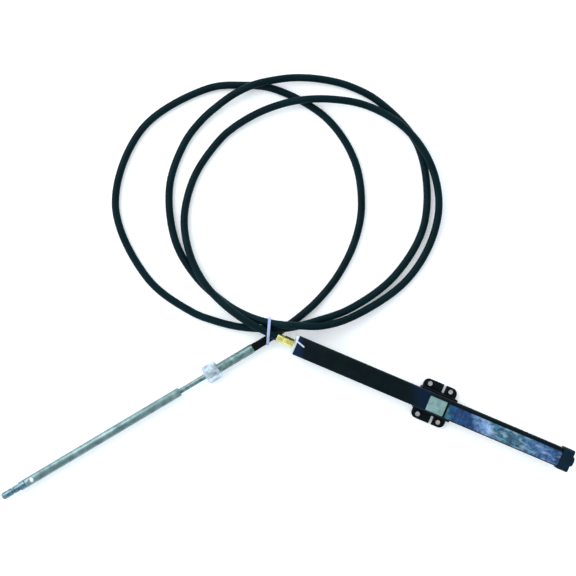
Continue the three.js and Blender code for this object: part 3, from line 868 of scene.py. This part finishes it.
@dataclass
class FreeCable:
    """The cable's free length in three loose loops, and the tie round its bundle."""

    finishes: Finishes
    diameter: float = 0.0134
    sleeve_end: float = -0.0333
    lead: float = 0.005
    brass_face: float = -0.3043
    tie_lean: float = 4.5
    tie_edge: float = 0.00025
    step: float = 0.006
    # Points chosen along the photograph's cable, in millimetres from the bracket's middle.
    route_mm: tuple[tuple[float, float, float], ...] = (
        (-306.8, 4.2, 12), (-296, 22, 9), (-282, 46, 7), (-263, 86, 6.8), (-247, 142, 6.8),
        (-243, 211, 6.8), (-257, 274, 6.8), (-301, 344, 6.8), (-377, 393, 6.8),
        (-480, 404, 6.8), (-536, 388, 6.8), (-591, 358, 6.8), (-670, 247, 6.8),
        (-661, 103, 6.9), (-557, 5, 7.1), (-462, -19, 9.5), (-420, -18, 12), (-380, -12, 15.4),
        (-349, -3, 18.2), (-324, 7, 20.9), (-303, 16, 24.2), (-280, 30, 25.3), (-253, 51, 22.5),
        (-204, 96, 12), (-153, 183, 7.3), (-142, 292, 6.9), (-204, 409, 6.8), (-297, 455, 6.8),
        (-360, 461, 7.4), (-412, 452, 9.5), (-455, 436, 14), (-489, 416, 18.8),
        (-517, 395, 21.2), (-540, 370, 18.6), (-562, 336, 13), (-580, 298, 8.6),
        (-591, 251, 7), (-585, 171, 6.8), (-537, 85, 6.9), (-474, 39, 7.1), (-410, 18, 10.4),
        (-382, 14, 16), (-353, 14, 23.5), (-324, 18, 31.5), (-299, 25, 37.4), (-274, 34, 39.6),
        (-240, 48, 34), (-197, 82, 20), (-135, 172, 7.8), (-118, 248, 8.8), (-127, 318, 14),
        (-157, 371, 19.5), (-202, 411, 21.4), (-256, 434, 21), (-322, 439, 20.6),
        (-381, 425, 21.2), (-429, 403, 21), (-463, 379, 18), (-494, 349, 12.6),
        (-521, 312, 8.6), (-535, 283, 7.3), (-551, 206, 7), (-539, 130, 9.5), (-504, 74, 15),
        (-460, 37, 21.2), (-416, 17, 26.2), (-374, 6, 31.8), (-342, 2, 34.4),
    )

    def knots(self) -> list[Vector]:
        """Returns the points that the middle line passes, from the sleeve to the brass."""
        out = [Axis.OUTPUT.at(self.sleeve_end), Axis.OUTPUT.at(self.sleeve_end - self.lead)]
        out += [BRACKET_MIDDLE + Vector(point) / 1000 for point in self.route_mm]
        end = self.brass_face - GAP
        return out + [Axis.RACK.at(end - self.lead), Axis.RACK.at(end)]

    def middle_line(self) -> list[Vector]:
        """Returns the smooth line through the knots, with even steps in each span."""
        knots = self.knots()
        padded = [2 * knots[0] - knots[1], *knots, 2 * knots[-1] - knots[-2]]
        line = []
        for before, here, there, after in zip(padded, padded[1:], padded[2:], padded[3:]):
            steps = max(2, round((there - here).length / self.step))
            for i in range(steps):
                line.append(self.between(before, here, there, after, i / steps))
        return [*line, knots[-1]]

    @staticmethod
    def between(p0: Vector, p1: Vector, p2: Vector, p3: Vector, share: float) -> Vector:
        """Returns a point of the centripetal curve between the two middle points."""
        t0 = 0.0
        t1 = t0 + math.sqrt((p1 - p0).length)
        t2 = t1 + math.sqrt((p2 - p1).length)
        t3 = t2 + math.sqrt((p3 - p2).length)
        t = t1 + (t2 - t1) * share
        a1 = p0.lerp(p1, (t - t0) / (t1 - t0))
        a2 = p1.lerp(p2, (t - t1) / (t2 - t1))
        a3 = p2.lerp(p3, (t - t2) / (t3 - t2))
        b1 = a1.lerp(a2, (t - t0) / (t2 - t0))
        b2 = a2.lerp(a3, (t - t1) / (t3 - t1))
        return b1.lerp(b2, (t - t1) / (t2 - t1))

    def build(self) -> None:
        line = self.middle_line()
        data = bpy.data.curves.new("free_cable", "CURVE")
        data.dimensions = "3D"
        data.bevel_depth = self.diameter / 2
        data.bevel_resolution = 6
        data.use_fill_caps = True
        spline = data.splines.new("POLY")
        spline.points.add(len(line) - 1)
        for point, place in zip(spline.points, line):
            point.co = (*place, 1)
        spline.use_smooth = True
        cable = bpy.data.objects.new("free_cable", data)
        bpy.context.scene.collection.objects.link(cable)
        data.materials.append(self.finishes.jacket)
        tie = self.build_tie()
        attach(cable, "housing")
        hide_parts("cable_jacket")

    def build_tie(self) -> bpy.types.Object:
        """Takes the tie's band, leans it, rounds its edges and returns the piece."""
        node = frame["nodes"]["cable_tie"]
        take(node)
        bpy.ops.object.duplicate()
        tie = named("bundle_tie")
        tie.parent = None
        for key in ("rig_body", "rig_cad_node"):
            if key in tie:
                del tie[key]
        take(tie)
        bpy.ops.object.mode_set(mode="EDIT")
        bpy.ops.mesh.select_all(action="SELECT")
        bpy.ops.mesh.remove_doubles(threshold=0.00001)
        bpy.ops.mesh.dissolve_limited(angle_limit=math.radians(2))
        lean = math.radians(self.tie_lean)
        corners = [Vector(corner) for corner in tie.bound_box]
        middle = sum(corners, Vector()) / len(corners)
        bpy.ops.transform.rotate(value=lean, orient_axis="Z", center_override=middle)
        leave_edit()
        finish_edges(tie, self.tie_edge, angle=40)
        stand_for(tie, "cable_tie", "housing", self.finishes.nylon)
        return tie


@dataclass
class MountingBracket:
    """The cast bracket: a flange with four bolt lugs and a saddle with two cheeks."""

    finishes: Finishes
    # Length, width and thickness.
    flange: tuple[float, float, float] = (0.063, 0.075, 0.007)
    corner: float = 0.010
    # How far apart the bolts are, along and across.
    bolts: tuple[float, float] = (0.0394, 0.059)
    hole: float = 0.0086
    boss_rim: float = 0.0066
    boss_rise: float = 0.0009
    notch_x: float = 0.0067
    notch_width: float = 0.005
    notch_depth: float = 0.015
    saddle_length: float = 0.068
    saddle_height: float = 0.0175
    # Thickness, and height over the saddle.
    cheek: tuple[float, float] = (0.0032, 0.017)
    # Diameter and depth.
    pinion_spigot: tuple[float, float] = (0.034, 0.004)
    # How high the tools of the pinion's bore and of the flange's holes reach.
    bore_top: float = 0.022
    drill_top: float = 0.012
    sunk: float = 0.001
    edge: float = 0.0007

    def build(self) -> None:
        """Builds the casting: the flange, saddle, cheeks and bosses, joined and then drilled."""
        middle = BRACKET_MIDDLE
        half = Vector(self.flange) / 2
        casting = box("bracket_casting", middle + Vector((-half.x, -half.y, 0)),
                      middle + Vector((half.x, half.y, self.flange[2])))
        bevel_along(casting, 2, self.corner, 8)
        inside = TUBE_WIDTH / 2 + GAP
        outside = inside + self.cheek[0]
        reach = self.saddle_length / 2
        parts = [box("saddle", middle + Vector((-reach, -outside, 0)),
                     middle + Vector((reach, outside, self.saddle_height)))]
        top = self.saddle_height + self.cheek[1]
        for side in (-1, 1):
            low, high = sorted((side * inside, side * outside))
            parts.append(box("cheek", middle + Vector((-reach, low, self.sunk)),
                             middle + Vector((reach, high, top))))
        for x, y in self.bolt_places():
            parts.append(upright("bolt_boss", x, y, self.hole + self.boss_rim, self.sunk,
                                 self.flange[2] + self.boss_rise))
        combine(casting, parts, Mix.JOIN)
        combine(casting, self.drills(), Mix.CUT)
        finish_edges(casting, self.edge, steps=3)
        stand_for(casting, "mounting_bracket", "housing", self.finishes.casting)

    def bolt_places(self) -> list[tuple[float, float]]:
        """Returns the middles of the four bolt holes."""
        out = []
        for end in (-1, 1):
            for side in (-1, 1):
                x = BRACKET_MIDDLE.x + end * self.bolts[0] / 2
                out.append((x, side * self.bolts[1] / 2))
        return out

    def drills(self) -> list[bpy.types.Object]:
        """Returns the tools that cut the pinion's bore, the bolt holes and the notches."""
        x = BRACKET_MIDDLE.x
        below = -OVERCUT
        out = [
            upright("bore", x, PINION_Y, PINION_BORE, below, self.bore_top),
            upright("spigot", x, PINION_Y, self.pinion_spigot[0], below, self.pinion_spigot[1]),
        ]
        for bolt_x, bolt_y in self.bolt_places():
            out.append(upright("bolt", bolt_x, bolt_y, self.hole, below, self.drill_top))
        for side in (-1, 1):
            root = side * (self.flange[1] / 2 - self.notch_depth + self.notch_width / 2)
            outer = side * (self.flange[1] / 2 + OVERCUT)
            low, high = sorted((root, outer))
            left = x + self.notch_x - self.notch_width / 2
            right = x + self.notch_x + self.notch_width / 2
            out.append(box("notch", (left, low, below), (right, high, self.drill_top)))
            out.append(upright("notch_root", x + self.notch_x, root, self.notch_width,
                               below, self.drill_top + HAIR))
        return out


@dataclass
class RackTube:
    """The square tube with its plug, brass fitting, cap, plate and label."""

    finishes: Finishes
    start: float = TUBE_START
    end: float = TUBE_END
    width: float = TUBE_WIDTH
    height: float = TUBE_HEIGHT
    wall: float = 0.003
    corner: float = 0.004
    bore_corner: float = 0.0008
    # The heights that the tool of the pinion's window cuts between.
    window: tuple[float, float] = (0.01, 0.0228)
    fine_edge: float = 0.0002
    edge: float = 0.0004
    plug_flange: float = 0.005
    # Where the spigot starts and ends behind the plug's face.
    plug_spigot: tuple[float, float] = (0.001, 0.017)
    plug_narrower: float = 0.0066
    plug_corner: float = 0.0005
    # Diameter and depth.
    plug_bore: tuple[float, float] = (0.011, 0.02)
    # Length, width and place across the tube.
    tongue: tuple[float, float, float] = (0.015, 0.0026, 0.0067)
    tongue_angle: float = -17.0
    brass_across: float = 0.0143
    brass_length: float = 0.0312
    brass_collar: float = 0.0139
    brass_collar_share: float = 0.42
    brass_groove: float = 0.0128
    # Diameter and length.
    brass_spigot: tuple[float, float] = (0.0104, 0.0143)
    brass_chamfer: float = 0.0012
    cap_overlap: float = 0.0125
    cap_end_wall: float = 0.007
    cap_wall: float = 0.0024
    cap_corner: float = 0.006
    cap_edge: float = 0.0009
    # Diameter, height and chamfer.
    cap_boss: tuple[float, float, float] = (0.018, 0.0065, 0.002)
    # Length, width and thickness.
    plate: tuple[float, float, float] = (0.032, 0.0264, 0.0008)
    plate_at: tuple[float, float] = (0.001, -0.002)
    plate_corner: float = 0.0015
    label_y: float = -0.0028
    label_width: float = 0.0256
    label_thickness: float = 0.0003
    label_corner: float = 0.002

    def build(self) -> None:
        """Builds every piece of the rack side."""
        self.build_tube()
        self.build_plug()
        self.build_brass()
        self.build_cap()
        self.build_plate_and_label()
        dress(frame["nodes"]["toothed_rack"], self.finishes.rack)

    def bar(self, name: str, start: float, end: float, width: float, height: float,
            corner: float) -> bpy.types.Object:
        """Makes a bar along the rack's axis with rounded long edges."""
        obj = box(name, Axis.RACK.at(start, -width / 2, -height / 2),
                  Axis.RACK.at(end, width / 2, height / 2))
        bevel_along(obj, 0, corner)
        return obj

    def tongue_bar(self, name: str, clearance: float) -> bpy.types.Object:
        """Makes the plug's slanted tongue, or its slot where there is a clearance."""
        length, width, y = self.tongue
        half = width / 2 + clearance
        obj = box(name, (-self.plug_flange, -half, -self.wall - clearance),
                  (length + clearance, half, clearance))
        place = BRACKET_MIDDLE + Vector((self.start, y, TUBE_TOP))
        turn = Matrix.Rotation(math.radians(self.tongue_angle), 4, "Z")
        settle(obj, Matrix.Translation(place) @ turn)
        return obj

    def build_tube(self) -> None:
        """Builds the square tube, open at both ends, with its slot and the pinion's window."""
        tube = self.bar("square_tube", self.start, self.end, self.width, self.height, self.corner)
        inner_width = self.width - 2 * self.wall
        inner_height = self.height - 2 * self.wall
        bore = self.bar("tube_bore", self.start - OVERCUT, self.end + OVERCUT, inner_width,
                        inner_height, self.bore_corner)
        window = upright("window", BRACKET_MIDDLE.x, PINION_Y, PINION_BORE, *self.window)
        combine(tube, [bore, window, self.tongue_bar("slot", GAP)], Mix.CUT)
        finish_edges(tube, self.edge)
        # Its enamel carries a painted navy reflection by the plug and by the plate.
        stand_for(tube, "rack_tube", "housing", self.finishes.enamel)

    def build_plug(self) -> None:
        """Builds the plated plug with its tongue."""
        face = self.start - GAP - self.plug_flange
        plug = self.bar("plated_plug", face, face + self.plug_flange, self.width, self.height,
                        self.corner)
        spigot = self.bar("plug_spigot", face + self.plug_spigot[0], face + self.plug_spigot[1],
                          self.width - self.plug_narrower, self.height - self.plug_narrower,
                          self.plug_corner)
        combine(plug, [spigot, self.tongue_bar("tongue", 0.0)], Mix.JOIN)
        radius = self.plug_bore[0] / 2
        profile = [(face - OVERCUT, radius), (face + self.plug_bore[1], radius)]
        combine(plug, [turned("plug_bore", profile, Axis.RACK.place)], Mix.CUT)
        finish_edges(plug, self.edge, steps=3)
        stand_for(plug, "end_plug", "housing", self.finishes.zinc)

    def build_brass(self) -> None:
        """Builds the brass hexagon with its collar and spigot."""
        end = self.start - 2 * GAP - self.plug_flange
        start = end - self.brass_length
        split = start + self.brass_length * self.brass_collar_share
        brass = hexagonal("brass_hexagon", self.brass_across, split, end, self.brass_chamfer,
                          Axis.RACK.place)
        radius, root = self.brass_collar / 2, self.brass_groove / 2
        collar = turned("brass_collar", [
            (start, root - 0.0002), (start + 0.0008, radius), (split - 0.0022, radius),
            (split - 0.0016, root), (split + 0.001, root),
        ], Axis.RACK.place)
        thin, length = self.brass_spigot[0] / 2, self.brass_spigot[1]
        spigot = turned("brass_spigot", [(end - 0.001, thin), (end + length, thin)],
                        Axis.RACK.place)
        combine(brass, [collar, spigot], Mix.JOIN)
        finish_edges(brass, self.fine_edge)
        stand_for(brass, "brass_fitting", "housing", self.finishes.brass)

    def build_cap(self) -> None:
        """Builds the moulded cap with its boss."""
        start = self.end - self.cap_overlap
        end = self.end + GAP + self.cap_end_wall
        inner_width = self.width + 2 * GAP
        inner_height = self.height + 2 * GAP
        cap = self.bar("moulded_cap", start, end, inner_width + 2 * self.cap_wall,
                       inner_height + 2 * self.cap_wall, self.cap_corner)
        hollow = self.bar("cap_hollow", start - OVERCUT, self.end + GAP, inner_width,
                          inner_height, self.corner)
        combine(cap, [hollow], Mix.CUT)
        diameter, height, chamfer = self.cap_boss
        radius = diameter / 2
        boss = turned("cap_boss", [
            (end - self.cap_end_wall / 2, radius), (end + height - chamfer, radius),
            (end + height, radius - chamfer),
        ], Axis.RACK.place)
        combine(cap, [boss], Mix.JOIN)
        finish_edges(cap, self.cap_edge, steps=3)
        stand_for(cap, "end_cap", "housing", self.finishes.cap)

    def build_plate_and_label(self) -> None:
        """Builds the worn plate and the printed film on the tube's top."""
        length, width, thickness = self.plate
        x, y = self.plate_at
        plate = box("worn_plate",
                    BRACKET_MIDDLE + Vector((x - length / 2, y - width / 2, TUBE_TOP)),
                    BRACKET_MIDDLE + Vector((x + length / 2, y + width / 2,
                                             TUBE_TOP + thickness)))
        bevel_along(plate, 2, self.plate_corner, 4)
        finish_edges(plate, self.fine_edge)
        stand_for(plate, "bracket_plate", "housing", self.finishes.plate)
        low, high = self.label_y - self.label_width / 2, self.label_y + self.label_width / 2
        label = box("printed_film", BRACKET_MIDDLE + Vector((LABEL_START, low, TUBE_TOP)),
                    BRACKET_MIDDLE + Vector((LABEL_END, high, TUBE_TOP + self.label_thickness)))
        bevel_along(label, 2, self.label_corner, 4)
        finish_edges(label, self.fine_edge / 2)
        stand_for(label, "rack_label", "housing", self.finishes.label)


@dataclass
class OutputEnd:
    """The sleeve, hub, nut, guide tube and ram on the output axis."""

    finishes: Finishes
    place: Matrix = field(default_factory=lambda: Axis.OUTPUT.place)
    fine_edge: float = 0.0002
    edge: float = 0.0003
    # Start and diameter.
    sleeve: tuple[float, float] = (-0.033, 0.0148)
    # Radius at the lip, and the lip's length.
    sleeve_lip: tuple[float, float] = (0.0067, 0.0015)
    ribs: int = 3
    rib_start: float = 0.006
    rib_pitch: float = 0.0032
    rib_depth: float = 0.0004
    # Where the two swaged rings start, and their width and depth.
    swages: tuple[float, float] = (0.026, 0.043)
    swage: tuple[float, float] = (0.003, 0.0005)
    hub_nose: float = 0.014
    hub_diameter: float = 0.0165
    # Diameter, start and end.
    hub_flange: tuple[float, float, float] = (0.0199, 0.0783, 0.0833)
    hub_end: float = 0.0903
    nut_across: float = 0.0286
    # Start and end.
    nut: tuple[float, float] = (0.0712, 0.0979)
    nut_bore: float = 0.0206
    nut_collar: float = 0.0068
    nut_chamfer: float = 0.0024
    # Diameter, start and end.
    guide: tuple[float, float, float] = (0.0095, 0.0606, 0.365)
    ram_diameter: float = 0.0159
    # Start and end.
    ram: tuple[float, float] = (0.1513, 0.4706)
    # Length, and how much the radius loses.
    ram_chamfer: tuple[float, float] = (0.0024, 0.0012)
    # Diameter and depth.
    ram_socket: tuple[float, float] = (0.0123, 0.0346)
    # How far before the ram's end the guide tube's bore stops.
    bore_stop: float = 0.03
    spigot_diameter: float = 0.0117
    collar_length: float = 0.0115
    neck_diameter: float = 0.0127
    neck_length: float = 0.0365
    # Start, end and depth of each groove in the neck, and how long its slopes are.
    grooves: tuple[tuple[float, float, float], ...] = (
        (0.0, 0.0022, 0.0006), (0.0122, 0.0158, 0.0012),
    )
    groove_slope: float = 0.0006
    # The rounded nose: distances back from its tip, and how much the radius loses there.
    nose: tuple[tuple[float, float], ...] = (
        (0.004, 0.0), (0.0025, 0.0003), (0.0012, 0.0012), (0.0003, 0.0026), (0.0, 0.004),
    )
    # Place along the axis and diameter of the drag link's hole.
    eye: tuple[float, float] = (0.4584, 0.0095)

    @property
    def guide_bore(self) -> float:
        """Returns the diameter of the bores that the guide tube runs in."""
        return self.guide[0] + 2 * GAP

    def build(self) -> None:
        """Builds every piece of the output end."""
        self.build_sleeve()
        self.build_hub()
        self.build_nut()
        self.build_guide()
        self.build_ram()

    def build_sleeve(self) -> None:
        """Builds the rubber sleeve with its tapered lip and three soft ribs."""
        start, diameter = self.sleeve
        radius = diameter / 2
        root = radius - self.rib_depth
        profile = [(start, self.sleeve_lip[0]), (start + self.sleeve_lip[1], root)]
        for rib in range(self.ribs):
            at = start + self.rib_start + rib * self.rib_pitch
            profile += [(at, root), (at + 0.0006, radius), (at + 0.0016, radius),
                        (at + 0.0022, root)]
        profile += [(-0.009, radius - 0.0003), (-0.007, radius), (-GAP, radius)]
        sleeve = turned("ribbed_sleeve", profile, self.place)
        finish_edges(sleeve, self.fine_edge)
        stand_for(sleeve, "rubber_sleeve", "housing", self.finishes.rubber)

    def build_hub(self) -> None:
        """Builds the hub tube with its swaged rings, and its flange inside the nut."""
        radius = self.hub_diameter / 2
        profile = [(0, radius - 0.0006), (0.0006, radius)]
        width, depth = self.swage
        for ring in self.swages:
            profile += [(ring, radius), (ring + width / 5, radius - depth),
                        (ring + width * 4 / 5, radius - depth), (ring + width, radius)]
        flange, flange_start, flange_end = self.hub_flange
        profile += [(flange_start, radius), (flange_start, flange / 2), (flange_end, flange / 2),
                    (self.hub_end, self.hub_nose / 2), (self.hub_end, self.guide_bore / 2),
                    (self.guide[1] - GAP, self.guide_bore / 2)]
        hub = turned("hub_tube_swaged", profile, self.place)
        finish_edges(hub, self.fine_edge)
        stand_for(hub, "hub_tube", "housing", self.finishes.hub)

    def build_nut(self) -> None:
        """Builds the coupling nut with turned corners, a collar bore and a thread's bore."""
        start, end = self.nut
        nut = hexagonal("coupling_hexagon", self.nut_across, start, end, self.nut_chamfer,
                        self.place)
        collar = self.hub_diameter / 2 + GAP
        bore = turned("nut_bore", [
            (start - OVERCUT, collar), (start + self.nut_collar, collar),
            (start + self.nut_collar, self.nut_bore / 2),
            (end - 0.0008, self.nut_bore / 2), (end + 0.0004, self.nut_bore / 2 + 0.0012),
        ], self.place)
        combine(nut, [bore], Mix.CUT)
        finish_edges(nut, self.edge)
        stand_for(nut, "coupling_nut", "nut", self.finishes.nut)

    def build_guide(self) -> None:
        """Builds the slim guide tube."""
        diameter, start, end = self.guide
        radius = diameter / 2
        guide = turned("guide_rod", [
            (start, radius - 0.0004), (start + 0.0004, radius), (end - 0.0006, radius),
            (end, radius - 0.0006),
        ], self.place, 48)
        finish_edges(guide, 0.0)
        stand_for(guide, "guide_tube", "housing", self.finishes.hub)

    def build_ram(self) -> None:
        """Builds the ram tube and its end, and drills the drag link's hole through both."""
        start, end = self.ram
        radius, socket = self.ram_diameter / 2, self.ram_socket[0] / 2
        lead, cut = self.ram_chamfer
        tube = turned("ram_barrel", [
            (start, radius - cut), (start + lead, radius), (end, radius), (end, socket),
            (end - self.ram_socket[1], socket),
        ], self.place)
        bore = turned("ram_bore", [(start - OVERCUT, self.guide_bore / 2),
                                   (end - self.bore_stop, self.guide_bore / 2)], self.place)
        combine(tube, [bore, self.eye_drill()], Mix.CUT)
        finish_edges(tube, self.edge)
        stand_for(tube, "ram_tube", "ram", self.finishes.ram)
        tip = turned("ram_tip", self.tip_profile(), self.place)
        combine(tip, [self.eye_drill()], Mix.CUT)
        finish_edges(tip, self.fine_edge)
        stand_for(tip, "ram_end", "ram", self.finishes.tip)

    def eye_drill(self) -> bpy.types.Object:
        """Returns the drill of the drag link's hole."""
        at = Axis.OUTPUT.at(self.eye[0])
        reach = self.ram_diameter / 2 + 2 * OVERCUT
        return upright("eye_drill", at.x, at.y, self.eye[1], at.z - reach, at.z + reach, 48)

    def tip_profile(self) -> list[tuple[float, float]]:
        """Returns the ram end's profile: spigot, collar, grooved neck and rounded nose."""
        end = self.ram[1]
        collar = end + GAP
        neck_start = collar + self.collar_length
        neck_end = neck_start + self.neck_length
        radius, spigot, neck = (size / 2 for size in (self.ram_diameter, self.spigot_diameter,
                                                      self.neck_diameter))
        profile = [
            (end - self.ram_socket[1] + GAP, spigot - 0.00035),
            (end - self.ram_socket[1] + 0.0008, spigot), (collar, spigot),
            (collar, radius - 0.0011), (collar + 0.0009, radius), (neck_start - 0.0006, radius),
            (neck_start, radius - 0.0008),
        ]
        for start, stop, depth in self.grooves:
            low, high = neck_start + start, neck_start + stop
            if start > 0:
                profile.append((low, neck))
                low += self.groove_slope
            profile += [(low, neck - depth), (high - self.groove_slope, neck - depth),
                        (high, neck)]
        profile += [(neck_end - back, neck - loss) for back, loss in self.nose]
        return profile


@dataclass
class Studio:
    """The camera straight above, a pale floor and soft light from the picture's upper left."""

    turn: float = 23.0
    looks_at: tuple[float, float] = (-0.346, 0.087)
    picture_width: float = 1.025
    lens: float = 100.0
    sensor: float = 36.0
    clip_end: float = 60.0
    # The picture's width holds at this height over the floor.
    width_height: float = 0.012
    light_energy: float = 22.0
    sky_colour: Colour = (0.92, 0.975, 1.0)
    sky_low: float = 1.75
    sky_overhead: float = 0.85
    sky_lean: float = 0.5
    floor_size: float = 40.0
    floor_z: float = -0.0004
    floor_glow: float = 0.2

    def build(self) -> None:
        """Sets up the view, the floor and the light."""
        bpy.context.scene.view_settings.view_transform = "Standard"
        self.build_camera()
        self.build_floor()
        self.build_light()

    def build_camera(self) -> None:
        """Places the camera so that the picture shows its width of floor."""
        height = self.picture_width * self.lens / self.sensor
        bpy.ops.object.camera_add(location=(*self.looks_at, height + self.width_height),
                                  rotation=(0, 0, math.radians(self.turn)))
        camera = bpy.context.active_object
        camera.data.lens = self.lens
        camera.data.sensor_width = self.sensor
        camera.data.clip_end = self.clip_end
        bpy.context.scene.camera = camera

    def build_floor(self) -> None:
        """Lays the floor, which glows faintly as a light table does, as no part of the object."""
        clear_selection()
        bpy.ops.mesh.primitive_plane_add(size=self.floor_size,
                                         location=(*self.looks_at, self.floor_z))
        floor = named("pale_floor")
        material, sheet, shader = start_material("pale floor")
        mottle = place_group(sheet, EFFECTS.mottle, {
            "Scale": 3.0, "Grain": 300.0, "Contrast": 0.8,
            "Dark": (*linear(238, 243, 248), 1), "Light": (*linear(246, 249, 252), 1),
        })
        sheet.link(mottle.outputs["Color"], shader.inputs["Base Color"])
        shader.inputs["Roughness"].default_value = 0.8
        shader.inputs["Emission Color"].default_value = (1, 1, 1, 1)
        shader.inputs["Emission Strength"].default_value = self.floor_glow
        shader.inputs["Specular IOR Level"].default_value = 0.2
        dress(floor, material)

    def build_light(self) -> None:
        """Adds a broad light from the upper left, a weaker fill and an even sky."""
        turn = math.radians(self.turn)
        up = Vector((-math.sin(turn), math.cos(turn), 0))
        right = Vector((math.cos(turn), math.sin(turn), 0))
        middle = Vector((*self.looks_at, 0))
        for name, aside, above, height, size, energy in (
            ("key", -1.3, 0.9, 1.8, 1.6, self.light_energy),
            ("fill", 1.2, -0.6, 2.0, 2.0, self.light_energy * 0.2),
        ):
            place = middle + right * aside + up * above + Vector((0, 0, height))
            bpy.ops.object.light_add(type="AREA", location=place)
            lamp = bpy.context.active_object
            lamp.name = name
            lamp.data.shape = "DISK"
            lamp.data.size = size
            lamp.data.energy = energy
            lamp.rotation_euler = (middle - place).to_track_quat("-Z", "Y").to_euler()
        self.build_sky(up - right)

    def build_sky(self, bright_side: Vector) -> None:
        """Makes a sky that is dim overhead and brighter low down and on the light's side."""
        world = bpy.data.worlds.new("sky")
        world.use_nodes = True
        sheet = Sheet(world.node_tree)
        background = world.node_tree.nodes["Background"]
        background.inputs["Color"].default_value = (*self.sky_colour, 1)
        where = sheet.add("ShaderNodeTexCoord")
        height = sheet.add("ShaderNodeSeparateXYZ")
        side = sheet.add("ShaderNodeVectorMath", operation="DOT_PRODUCT")
        side.inputs[1].default_value = bright_side.normalized()
        sheet.link(where.outputs["Generated"], height.inputs["Vector"])
        sheet.link(where.outputs["Generated"], side.inputs[0])
        level = sheet.spread(height.outputs["Z"], self.sky_low, self.sky_overhead, 0.1, 0.95)
        lean = sheet.spread(side.outputs["Value"], 1 - self.sky_lean, 1 + self.sky_lean, -1.0)
        sheet.link(sheet.product(level, lean), background.inputs["Strength"])
        bpy.context.scene.world = world


def main() -> None:
    """Builds the view, the cable and then every other piece."""
    logging.basicConfig(level=logging.INFO, format="%(message)s")
    Studio().build()
    finishes = Finishes()
    FreeCable(finishes).build()
    MountingBracket(finishes).build()
    RackTube(finishes).build()
    OutputEnd(finishes).build()
    clear_selection()


if __name__ == "__main__":
    main()
